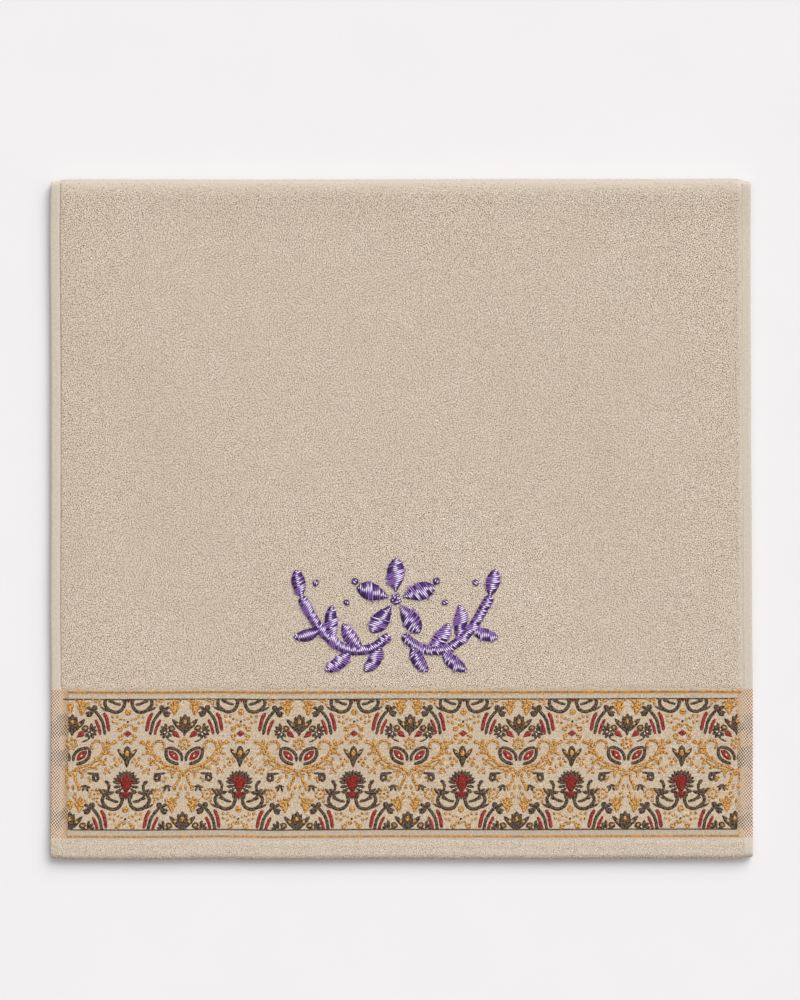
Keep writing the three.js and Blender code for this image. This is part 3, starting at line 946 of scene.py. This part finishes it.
# %% The crown column
CROWN = [
    leaf("dark", 0, 65.4, 90, 6.0, 2.6), leaf("dark", 0, 66.2, 90, 11.4, 10.4, full=0.7, blunt=1.4),
    leaf("dark", 0, 69.6, 90, 11.8, 5.0),
    *pair(
        *leaves(
            "dark", (1.0, 74.2, 67, 5.9, 3.0), (1.0, 72.4, 56, 5.2, 2.4),
            (-0.4, 66.6, 49, 14.8, 3.5, -7, 0.62), (2.0, 70.2, 62, 5.8, 3.4),
        ),
        leaf("gold", 4.3, 72.8, 60, 2.7, 2.1, lift=0.25),
    ),
    leaf("gold", 0, 73.9, 90, 4.0, 2.5, full=0.42, lift=0.25),
]
FLANKING_FLOWERS = pair(
    *leaves("dark", *[(12.4, 68.8, heading, length, 2.3) for heading, length in (
        (74, 6.4), (40, 6.2), (8, 5.8), (-24, 5.8), (-58, 6.0), (-94, 5.6), (-130, 4.8), (168, 4.6),
    )], full=0.66),
    *spots("dark", 5.4, (9.3, 71.2)), *spots("gold", 1.9, (9.3, 71.2), lift=0.3),
    *spots("gold", 1.2, (12.1, 71.8), lift=0.3),
    *leaves("cream", (12.2, 67.9, -70, 2.0, 0.9), (13.4, 68.6, -20, 1.9, 0.9), lift=0.3),
    leaf("red", 2.9, 64.3, 37, 7.4, 3.9, full=0.66), leaf("cream", 5.4, 66.5, 37, 2.6, 0.9, lift=0.2),
    stem("dark", 1.2, (7.2, 61.3), (9.4, 62.1), (12.0, 63.3)),
)
ALMONDS = pair(
    stem("dark", 2.3, (1.4, 47.8), (1.7, 51.4), (4.2, 54.9), (8.4, 56.9), (12.2, 57.1)),
    stem("dark", 2.5, (12.6, 57.2), (12.9, 52.8), (11.4, 49.2), (8.0, 46.8), (3.6, 45.5)),
    leaf("red", 3.8, 48.2, 45, 10.2, 4.5), leaf("cream", 6.0, 50.4, 46, 3.6, 1.2, lift=0.2),
)
GOLD_SCROLLS = pair(
    *[stem("gold", *path) for path in (
        (1.7, (0.2, 36.8), (1.3, 40.0), (3.6, 42.0), (7.0, 43.6), (12.0, 44.8), (16.4, 47.2), (20.0, 50.6),
         (23.0, 55.2), (26.4, 59.2), (31.4, 61.5)),
        (1.7, (20.8, 50.8), (22.9, 55.4), (22.4, 59.6), (19.2, 62.0), (15.6, 61.4), (14.1, 58.2),
         (15.8, 56.0)),
        (1.5, (10.8, 44.4), (15.4, 43.4), (19.4, 41.8)),
        (1.1, (6.6, 40.9), (10.8, 41.9), (15.2, 43.0), (19.0, 45.0), (22.0, 47.8)),
        (1.5, (14.6, 46.0), (18.6, 48.4), (22.2, 48.2), (24.6, 45.2)),
        (1.8, (2.0, 41.4), (5.0, 41.2), (7.6, 39.4), (8.2, 37.2), (7.6, 35.6)),
        (1.7, (4.6, 38.6), (3.0, 38.0), (3.1, 34.8), (4.6, 31.8), (6.2, 29.6)),
    )],
    *leaves(
        "gold", (25.8, 58.6, 92, 5.0, 2.4, -20), (28.4, 60.2, 14, 4.4, 1.9, -20), (29.6, 61.0, 60, 2.6, 1.6),
        (24.0, 56.2, 6, 4.6, 1.8, -40), (25.4, 56.2, -56, 4.4, 2.0, 30), (27.0, 53.4, -20, 3.4, 1.8),
        (19.0, 49.6, 160, 3.2, 2.2, -30), (21.6, 52.6, -4, 4.4, 1.8, -60), (23.6, 50.4, -50, 3.0, 1.8),
        (6.3, 31.6, -92, 5.4, 2.5), (1.2, 31.4, -76, 4.6, 1.8), (2.3, 25.9, -46, 3.8, 1.8),
        (8.4, 40.2, -4, 3.4, 1.2), (11.2, 35.4, 20, 3.0, 1.8), (13.4, 35.6, -72, 3.6, 1.9),
        (21.4, 46.0, -10, 3.4, 1.6, 30), (23.6, 42.6, -40, 2.4, 1.6),
    ),
)
ROSETTE = [*ring("gold", 0, 60.0, 3.3, 7, 2.5, 90), *spots("gold", 2.5, (0, 60.0))]
CROWN_COLUMN = CROWN + FLANKING_FLOWERS + ALMONDS + GOLD_SCROLLS + ROSETTE

# %% [markdown]
# The two columns take turns across the cloth. The loom doesn't hold them perfectly even: their spacing
# drifts by a few millimetres and they lean a little. The shapes are laid on the cloth like everything
# else, and what runs past the border's lines is cut off there.

# %% Place the columns and the lines
CROWN_AXES = (15.0, 95.2, 176.7, 255.5, 333.0, 410.2, 488.5)  # mm from the left edge
PALMETTE_AXES = (54.6, 135.0, 215.7, 293.4, 371.1, 449.6)
LEAN, UPRIGHT_AT = 0.0225, 63.0  # mm to the right for each mm up, and the height in the field that stays
PATTERN_FOOT = FIELD_BOTTOM + 0.8  # mm above the lower fold, from which the motifs are measured
LINE_FROM, LINE_TO = 8.6, TOWEL_WIDTH - 9.8  # mm from the left edge, of the upper dark line
LOW_LINE_FROM = 14.5
UPPER_CORD, LOWER_CORD = 119.1, 16.05  # mm above the lower fold
CORD_FROM = LINE_FROM + 4


def edge_sprays():
    """Where the cloth ends, the loom squeezes a last gold spray into what room is left."""
    sprays = []
    for up in (PATTERN_FOOT, PATTERN_FOOT + REPEAT_UP):
        sprays += leaves(
            "gold", (13.9, up + 11.4, 88, 9.6, 3.2, 0, 0.6), (14.0, up + 15.0, 60, 4.4, 1.9),
            (13.8, up + 15.4, 118, 4.2, 1.9), (487.8, up + 15.6, 84, 6.0, 1.3),
            (488.6, up + 12.6, 96, 2.2, 1.2),
        )
    return sprays


def placed_columns():
    """Every shape of the field, as (yarn, path of across and above, half width, lift)."""
    placed = []
    for axes, column in ((CROWN_AXES, CROWN_COLUMN), (PALMETTE_AXES, PALMETTE_COLUMN)):
        for axis in axes:
            for yarn, path, half, lift in column:
                for shift in (-REPEAT_UP, 0, REPEAT_UP):
                    up = path[:, 1] + shift
                    across = axis + path[:, 0] + LEAN * (up - UPRIGHT_AT)
                    above = PATTERN_FOOT + up
                    if above.mean() > FIELD_BOTTOM - 0.6 and above.min() < FIELD_TOP:
                        placed.append((yarn, np.stack([across, above], axis=-1), half, lift))
    return placed + edge_sprays()


def level_line(start, end, above, step, half):
    """A line across the cloth, as a path with its half widths and no lift."""
    across = np.arange(start, end, step)
    return np.stack([across, above + 0 * across], axis=-1), half + 0 * across, 0.0


dark_lines = [
    level_line(start, LINE_TO, above, 2.0, 0.55)
    for start, above in ((LOW_LINE_FROM, FIELD_BOTTOM - 0.4), (LINE_FROM, FIELD_TOP - 0.1))
]
# Beside the pattern the gold cords' yarn is bound down, and only a faint trace of it shows
gold_tails = [
    level_line(start, end, above, 1.5, 0.75)
    for above in (UPPER_CORD, LOWER_CORD) for start, end in ((1.5, CORD_FROM), (LINE_TO, TOWEL_WIDTH - 1.5))
]
print("shapes in the two columns:", len(PALMETTE_COLUMN), len(CROWN_COLUMN))

# %% Turn shapes into yarn that floats over the cloth
RELIEF = 0.5  # mm that a floating yarn stands up
RAGGED = 0.16  # mm by which a woven edge steps in and out
SUNK = 0.05  # mm by which the edges of a float lie below the ground, so that no gap shows
ACROSS_PROFILE = np.array([(-1, 0), (-0.62, 0.85), (0, 1), (0.62, 0.85), (1, 0)])


def sweep(path, half, relief, full_at):
    """Rows of points over a shape, as across and above, and their height over the ground."""
    ahead = np.gradient(path, axis=0)
    ahead /= np.linalg.norm(ahead, axis=1, keepdims=True)
    side = np.stack([-ahead[:, 1], ahead[:, 0]], axis=-1)
    wide = half[:, None] + np.clip(half, 0.2, 1)[:, None] * rng.uniform(-RAGGED, RAGGED, (len(half), 2))
    wide = np.where(ACROSS_PROFILE[None, :, 0] < 0, wide[:, :1], wide[:, 1:])
    rows = path[:, None] + side[:, None] * (ACROSS_PROFILE[None, :, 0] * wide)[..., None]
    stands = relief * np.clip(half / full_at, 0.35, 1)[:, None] * ACROSS_PROFILE[None, :, 1]
    return rows, stands - SUNK


def collect(shapes, relief, field, full_at):
    """Points as (across, above, height), faces, and places on each shape. field cuts the shapes off."""
    points, faces, flats, count = [], [], [], 0
    for path, half, lift in shapes:
        rows, stands = sweep(path, half, relief, full_at)
        quads = grid_faces(*stands.shape)
        if field is not None:
            low, high = field
            seen = ((rows > low) & (rows < high)).all(axis=-1)
            quads = quads[seen.ravel()[quads].any(axis=1)]
            rows = np.clip(rows, low, high)
        if not len(quads):
            continue
        flat = np.stack(np.broadcast_arrays(ACROSS_PROFILE[None, :, 0], along_path(path)[:, None]), axis=-1)
        points.append(np.concatenate([rows, (stands + lift)[..., None]], axis=-1).reshape(-1, 3))
        faces.append(quads + count)
        flats.append(flat.reshape(-1, 2))
        count += stands.size
    points, faces, flats = np.vstack(points), np.vstack(faces), np.vstack(flats)
    used, renumbered = np.unique(faces, return_inverse=True)
    return points[used], renumbered.reshape(faces.shape), flats[used]


def make_yarn_colour(name, light, dark, dive_shade_tint, sheen=0.1):
    # Dyed cotton pattern yarn: matt, its floats light along the top, and tinted dark as painted shade where
    # they dive at the edges
    material, tree = new_material(name)
    place = add(tree, "TexCoord").outputs["Object"]
    flat = add(tree, "UVMap", uv_map="yarn")
    slanted = add(tree, "Mapping", {"Vector": flat, "Rotation": (0, 0, math.radians(24))})
    floats = add(tree, "TexWave", {
        "Vector": slanted, "Scale": 1 / (WAVE * 1.2 * MM), "Distortion": 1.5, "Detail Scale": 3.0,
    }, bands_direction="Y").outputs["Fac"]
    speck = add(tree, "TexNoise", {
        "Vector": place, "Scale": 1 / (1.15 * MM), "Detail": 0.0,
    }, noise_dimensions="2D")
    share = add(tree, "Math", (floats, 0.07, speck), operation="MULTIPLY_ADD")
    even = add(tree, "MapRange", (share, 0.33, 0.68))
    aside = add(tree, "SeparateXYZ", (flat,)).outputs[0]
    offset = add(tree, "Math", (aside,), operation="ABSOLUTE")
    fray = add(tree, "TexNoise", {"Vector": place, "Scale": 1 / (0.85 * MM), "Detail": 1.0})
    edge = add(tree, "Math", (fray, 0.6 * MM, offset), operation="MULTIPLY_ADD")
    # Painted shade where a float dives under the ground at its edges
    dive_shade = add(tree, "MapRange", (edge, 0.85 * MM, 1.3 * MM, 0.0, 0.85))
    under = add(tree, "MapRange", (edge, 1.34 * MM, 1.4 * MM))
    colour = tinted(tree, linear(dark), (even, light), (dive_shade, dive_shade_tint), (under, "#bfae96"))
    bump = add(tree, "Bump", {"Height": share, "Strength": 0.5, "Distance": 0.25 * MM})
    return surface(material, {
        "Base Color": colour, "Roughness": 0.75, "Normal": bump, "Specular IOR Level": 0.3,
        "Sheen Weight": sheen, "Sheen Roughness": 0.4,
    })


def make_floats(name, shapes, material, relief, ground, field=None, full_at=0.9):
    points, faces, flats = collect(shapes, relief, field, full_at)
    laid = lay(along_of(points[:, 1]), points[:, 0], ground + points[:, 2])
    piece = make_object(name, laid, faces, [material])
    paint_uv(piece, "yarn", flats)
    print(piece.name, len(piece.data.polygons))
    return piece


YARNS = {  # name of the yarn: its material's name, light, dark and edge tints, the edge tint being painted shade where the floats dive, and how bold it lies
    "dark": ("charcoal_cotton_yarn", "#6a543f", "#19120c", "#140e09", 1.05),
    "black": ("black_cotton_yarn", "#2c2a27", "#161514", "#0e0d0c", 1.1),
    "red": ("madder_red_cotton_yarn", "#a73b32", "#580e0d", "#3c0a09", 1.12),
    "crimson": ("crimson_cotton_yarn", "#95291f", "#570808", "#340605", 1.12),
    "gold": ("old_gold_cotton_yarn", "#d8a055", "#7d4f1b", "#5c3a0e", 1.22),
    "cream": ("cream_cotton_yarn", "#efe0c8", "#dac6a6", "#bfa580", 1.1),
}
FIELD = ((FIELD_LEFT, FIELD_BOTTOM), (TOWEL_WIDTH - FIELD_RIGHT, FIELD_TOP))
# The gold yarn runs on a little past the ends of the field
GOLD_FIELD = ((FIELD_LEFT - 2, FIELD_BOTTOM), (TOWEL_WIDTH - FIELD_RIGHT + 1.7, FIELD_TOP))


def make_pattern():
    placed, made, ground = placed_columns(), {}, FLAT_WEAVE / 2
    for yarn, (name, light, dark, dive_shade_tint, bold) in YARNS.items():
        shapes = [(path, half * bold, lift) for own, path, half, lift in placed if own == yarn]
        material = make_yarn_colour(name, light, dark, dive_shade_tint)
        field = GOLD_FIELD if yarn == "gold" else FIELD
        made[yarn] = make_floats(f"border_{yarn}_yarn", shapes, material, RELIEF, ground, field)
    material = bpy.data.materials[YARNS["dark"][0]]
    made["lines"] = make_floats("border_dark_lines", dark_lines, material, 0.3, ground)
    faded = make_yarn_colour("bound_gold_cotton_yarn", "#d0a67a", "#b88b62", "#c2a07e")
    made["tails"] = make_floats("border_gold_tails", gold_tails, faded, 0.15, ground)
    return made


pattern = make_pattern()

# %% [markdown]
# ## Stitches along a path
#
# The gold cords, the seams of the hems and the satin stitch of the sprig are all one thing: a short
# arch of thread, repeated along a path, turned with it and a little slanted. One tree makes them all.
# It takes bare edges whose points carry half the width that a stitch spans there.

# %% The tree that sews
def make_stitch_tree():
    tree, given = new_tree("stitches_on_a_path", {
        "Spacing": 0.6 * MM, "Thread": 0.5 * MM, "Crown": 0.5 * MM, "Full Width": 1.0 * MM, "Slant": 0.5,
        "Ragged": 0.08, "Seed": 1, "Material": None,
    })
    curve = add(tree, "MeshToCurve", {"Mesh": given["Geometry"]})
    even = add(tree, "ResampleCurve", {"Curve": curve, "Length": given["Spacing"]}, mode="LENGTH")
    tangent = add(tree, "InputTangent")
    facing = add(tree, "AlignRotationToVector", {"Vector": tangent}, axis="Y", pivot_axis="Z")
    wobble = add(tree, "RandomValue", {0: -0.09, 1: 0.09, "Seed": given["Seed"]}, data_type="FLOAT")
    slant = add(tree, "Math", (given["Slant"], wobble), operation="ADD")
    turn = add(tree, "AxisAngleToRotation", ((0, 0, 1), slant))
    rotation = add(tree, "RotateRotation", (facing, turn), rotation_space="LOCAL")
    crown = add(tree, "Math", (given["Crown"], 2.0), operation="MULTIPLY")
    top = add(tree, "CombineXYZ", {"Z": crown})
    arch = add(tree, "CurveQuadraticBezier", (6, (-1, 0, 0), top, (1, 0, 0)))
    radius = add(tree, "Math", (given["Thread"], 0.5), operation="MULTIPLY")
    profile = add(tree, "CurvePrimitiveCircle", {"Resolution": 4, "Radius": radius})
    measured = add(tree, "StoreNamedAttribute", {
        "Geometry": arch, "Name": "span", "Value": add(tree, "SplineParameter"),
    }, data_type="FLOAT", domain="POINT")
    stitch = add(tree, "CurveToMesh", (measured, profile))
    half = add(tree, "InputNamedAttribute", {"Name": "half_width"}, data_type="FLOAT")
    least, most = [add(tree, "Math", (1.0, given["Ragged"]), operation=way) for way in ("SUBTRACT", "ADD")]
    ragged = add(tree, "RandomValue", {0: least, 1: most, "Seed": given["Seed"]}, data_type="FLOAT")
    wide = add(tree, "Math", (half, ragged), operation="MULTIPLY")
    share = add(tree, "Math", (half, given["Full Width"]), operation="DIVIDE")
    high = add(tree, "Clamp", (share, 0.4, 1.0))
    size = add(tree, "CombineXYZ", (wide, 1.0, high))
    return end_tree(tree, given, add(tree, "InstanceOnPoints", {
        "Points": even, "Instance": stitch, "Rotation": rotation, "Scale": size,
    }))


def make_thread(name, light, dark):
    # Twisted cotton thread: every stitch takes its own tint, with a soft dull shine
    material, tree = new_material(name)
    shade = add(tree, "Attribute", attribute_name="shade").outputs["Fac"]
    return surface(material, {
        "Base Color": tinted(tree, linear(dark), (shade, light)), "Roughness": 0.6, "Specular IOR Level": 0.3,
        "Sheen Weight": 0.1, "Sheen Roughness": 0.4,
    })


def make_satin_thread(name, light, dark, flash_tint):
    # Untwisted rayon: smooth and shiny, dark at the needle holes, with a painted highlight: a pale flash
    # where each stitch turns over
    material, tree = new_material(name)
    shade, span = [
        add(tree, "Attribute", attribute_name=label).outputs["Fac"] for label in ("shade", "span")
    ]
    middle = add(tree, "Math", (shade, 0.34, 0.4), operation="MULTIPLY_ADD")
    off = add(tree, "Math", (span, middle), operation="SUBTRACT")
    near = add(tree, "Math", (off,), operation="ABSOLUTE")
    # Painted highlight: a pale band across each stitch, placed a little differently on each
    painted_flash = add(tree, "MapRange", (near, 0.06, 0.25, 1.0, 0.0))
    colour = tinted(tree, linear(dark), (shade, light), (painted_flash, flash_tint))
    return surface(material, {"Base Color": colour, "Roughness": 0.32, "Specular IOR Level": 0.7})


def sew(name, paths, ground, values):
    """Stitches on some paths of across and above, each with its half widths, all in mm."""
    points, edges, halves, count = [], [], [], 0
    for path, half, lift in paths:
        points.append(lay(along_of(path[:, 1]), path[:, 0], ground + lift))
        edges += [(count + i, count + i + 1) for i in range(len(path) - 1)]
        halves.append(half)
        count += len(path)
    mesh = bpy.data.meshes.new(name)
    mesh.from_pydata(np.vstack(points) * MM, edges, [])
    width = mesh.attributes.new("half_width", "FLOAT", "POINT")
    width.data.foreach_set("value", (np.concatenate(halves) * MM).astype(np.float32))
    made = grow(stand(name, mesh), stitch_tree, values)
    print(made.name, len(made.data.polygons))
    return made


stitch_tree = make_stitch_tree()

# %% Gold cords and hem seams
SEAM_IN_GROOVE = 0.6  # mm from the left hem's inner edge to its seam, which lies in the groove
SEAM_ON_HEM = 1.3  # mm from the right hem's inner edge to its seam


def straight(across, above, half, step=3.0):
    """A path between two places, given as (from, to) across and above."""
    count = max(2, round(math.hypot(across[1] - across[0], above[1] - above[0]) / step))
    path = np.stack([np.linspace(*across, count), np.linspace(*above, count)], axis=-1)
    return path, np.full(count, half), 0.0


def make_cords():
    paths = [straight((CORD_FROM, LINE_TO), (above, above), 1.5) for above in (UPPER_CORD, LOWER_CORD)]
    return sew("border_gold_cords", paths, FLAT_WEAVE / 2 - 0.42, {
        "Spacing": 1.2 * MM, "Thread": 0.95 * MM, "Crown": 0.3 * MM, "Slant": 0.8, "Ragged": 0.35,
        "Material": make_thread("gold_cord", "#d0953c", "#7c4e1b"),
    })


def make_seams():
    """The left seam sinks into its groove, its thread tinted dark as painted shadow of the terry's step
    beside it, and the right one lies on the hem.
    """
    return [
        sew(name, [straight((seam, seam), (BORDER_END + 3, FACE_LENGTH - 4), 0.95)], SIDE_HEM / 2 - 0.25, {
            "Spacing": 2.3 * MM, "Thread": 0.6 * MM, "Crown": 0.25 * MM, "Slant": math.pi / 2, "Seed": 3,
            "Material": make_thread(name + "_thread", light, dark),
        })
        for name, seam, light, dark in (
            # Painted shadow: the left seam's thread is darker than the right one's
            ("left_hem_seam", SIDE_HEM_WIDTH + SEAM_IN_GROOVE, "#c4b199", "#a08b72"),
            ("right_hem_seam", TOWEL_WIDTH - SIDE_HEM_WIDTH + SEAM_ON_HEM, "#dccfbb", "#cbbca5"),
        )
    ]


cords, seams = make_cords(), make_seams()

# %% [markdown]
# ## A sprig in satin stitch
#
# Satin stitch lays shiny thread side by side over a padding, so a leaf swells in its middle, and a pale
# flash painted along each stitch stands for its highlight. The padding is the same kind of swept shape as
# the border's motifs, in a darker tint that paints the shade between the stitches, and the tree above sews
# over it. The sprig itself is made up: a flower between two leafy branches.

# %% The sprig
SPRIG_ACROSS, SPRIG_ABOVE = 246.1, 173.0  # mm, the middle of the sprig
SPRIG = [
    *[leaf("purple", 5.2 * math.cos(a), 12 + 5.2 * math.sin(a), math.degrees(a), 24, 12.6, full=0.6)
      for a in np.radians((90, 162, 234, 306, 18))],
    *ring("purple", 0, 12, 2.2, 5, 4.0, 54),
    *pair(
        stem("purple", 6.8, (5, -14), (18, -23), (36, -23), (52, -11), (64, 8), (67, 14)),
        *leaves(
            "purple", (11.5, -21.0, -58, 22, 9.6, 40), (24, -23.0, 54, 23, 9.4, 36),
            (33, -24.5, -38, 23, 9.4, 36), (44, -16.5, 88, 25, 9.2, 30), (54, -9.0, -16, 20, 8.8, 30),
            (67, 14, 78, 20, 10.0, 0, 0.55),
        ),
        *spots("purple", 4.6, (35, 10), (57, 24), (29, 25)),
    ),
]


def make_sprig():
    shapes = [(path + (SPRIG_ACROSS, SPRIG_ABOVE), half, lift) for _, path, half, lift in SPRIG]
    # Painted shade: the padding is tinted darker than the thread, so the gaps between stitches read as shade
    padding = make_yarn_colour("violet_padding_stitches", "#4c266c", "#2e1548", "#250f3b", sheen=0.0)
    under = make_floats("sprig_padding", shapes, padding, 1.1, TERRY / 2 - 0.35, full_at=3.6)
    over = sew("sprig_satin_stitch", shapes, TERRY / 2 - 0.3, {
        "Spacing": 1.4 * MM, "Thread": 0.95 * MM, "Crown": 1.2 * MM, "Full Width": 3.6 * MM, "Slant": 0.32,
        "Ragged": 0.4, "Material": make_satin_thread("violet_rayon_thread", "#a67bc6", "#4b1967", "#f7e9ff"),
    })
    return under, over


sprig_padding, sprig = make_sprig()

# %% [markdown]
# ## Floor, light and camera
#
# The towel lies on a pale table top under one broad soft light from the upper right, with an even fill.
# The camera looks straight down from far enough away that the folds at the edges barely show their sides.

# %% Stage
PHOTO_WIDTH, PHOTO_HEIGHT = 800, 1000  # pixels
MM_PER_PIXEL = 0.7131
PHOTO_X_OF_MIDDLE, PHOTO_Y_OF_MIDDLE = 401.5, 518.9  # where the part's origin is in the photo
CAMERA_HEIGHT = 2400.0
FACE_HEIGHT = 8.0  # of the towel's face, where the camera's scale holds
SENSOR = 36.0
FLOOR_HALF = 3000  # mm from the middle of the floor to its edges


def make_floor():
    # Matt laminate: a pale even sweep with the faintest grain
    material, tree = new_material("matt_pale_laminate")
    place = add(tree, "TexCoord").outputs["Object"]
    colour = mottled(tree, place, "#e6e4e5", "#e4e2e3", 60, 0.3)
    surface(material, {"Base Color": colour, "Roughness": 0.7, "Specular IOR Level": 0.2})
    corners = [(x * FLOOR_HALF, y * FLOOR_HALF, 0) for x, y in ((-1, -1), (1, -1), (1, 1), (-1, 1))]
    make_object("floor", corners, [(0, 1, 2, 3)], [material])


def make_sun(name, strength, angle_deg, elevation_deg, azimuth_deg):
    light = bpy.data.lights.new(name, "SUN")
    light.energy = strength
    light.angle = math.radians(angle_deg)
    stand(name, light).rotation_euler = (math.radians(90 - elevation_deg), 0, math.radians(azimuth_deg + 90))


def make_world(strength):
    world = bpy.data.worlds.new("even_fill")
    world.use_nodes = True
    background = world.node_tree.nodes["Background"]
    background.inputs["Color"].default_value = (1.0, 0.985, 0.995, 1.0)
    background.inputs["Strength"].default_value = strength
    bpy.context.scene.world = world


def make_camera():
    data = bpy.data.cameras.new("camera")
    data.sensor_width = SENSOR
    data.lens = SENSOR * (CAMERA_HEIGHT - FACE_HEIGHT) / (PHOTO_HEIGHT * MM_PER_PIXEL)
    camera = stand("camera", data)
    x = (PHOTO_WIDTH / 2 - PHOTO_X_OF_MIDDLE) * MM_PER_PIXEL
    y = (PHOTO_Y_OF_MIDDLE - PHOTO_HEIGHT / 2) * MM_PER_PIXEL
    camera.location = (x * MM, y * MM, CAMERA_HEIGHT * MM)
    bpy.context.scene.camera = camera


make_floor()
make_sun("broad_key_light", 2.45, 42, 40, 64)
make_sun("very_broad_fill", 1.5, 120, 66, 40)
make_world(0.2)
make_camera()
bpy.context.scene.view_settings.view_transform = "Standard"
print("camera at", tuple(bpy.context.scene.camera.location))

# %% [markdown]
# ## Attach every piece
#
# Every piece rides on the part's one body. The cloth stands for the solid, so that solid is hidden.

# %% Attach and finish
SLOTS = {
    "dark": "dark_yarn", "black": "dark_yarn", "lines": "dark_yarn", "red": "red_yarn", "crimson": "red_yarn",
    "gold": "gold_yarn", "tails": "gold_yarn", "cream": "terry_cotton",
}
dressing = [(band, "terry_cotton") for band in loop_bands]
dressing += [(piece, SLOTS[yarn]) for yarn, piece in pattern.items()]
dressing += [(cords, "gold_yarn"), *[(seam, "terry_cotton") for seam in seams]]
dressing += [(sprig_padding, "purple_thread"), (sprig, "purple_thread")]
for piece, slot in [(cloth, "terry_cotton")] + dressing:
    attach(piece, "root")
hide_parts("towel")
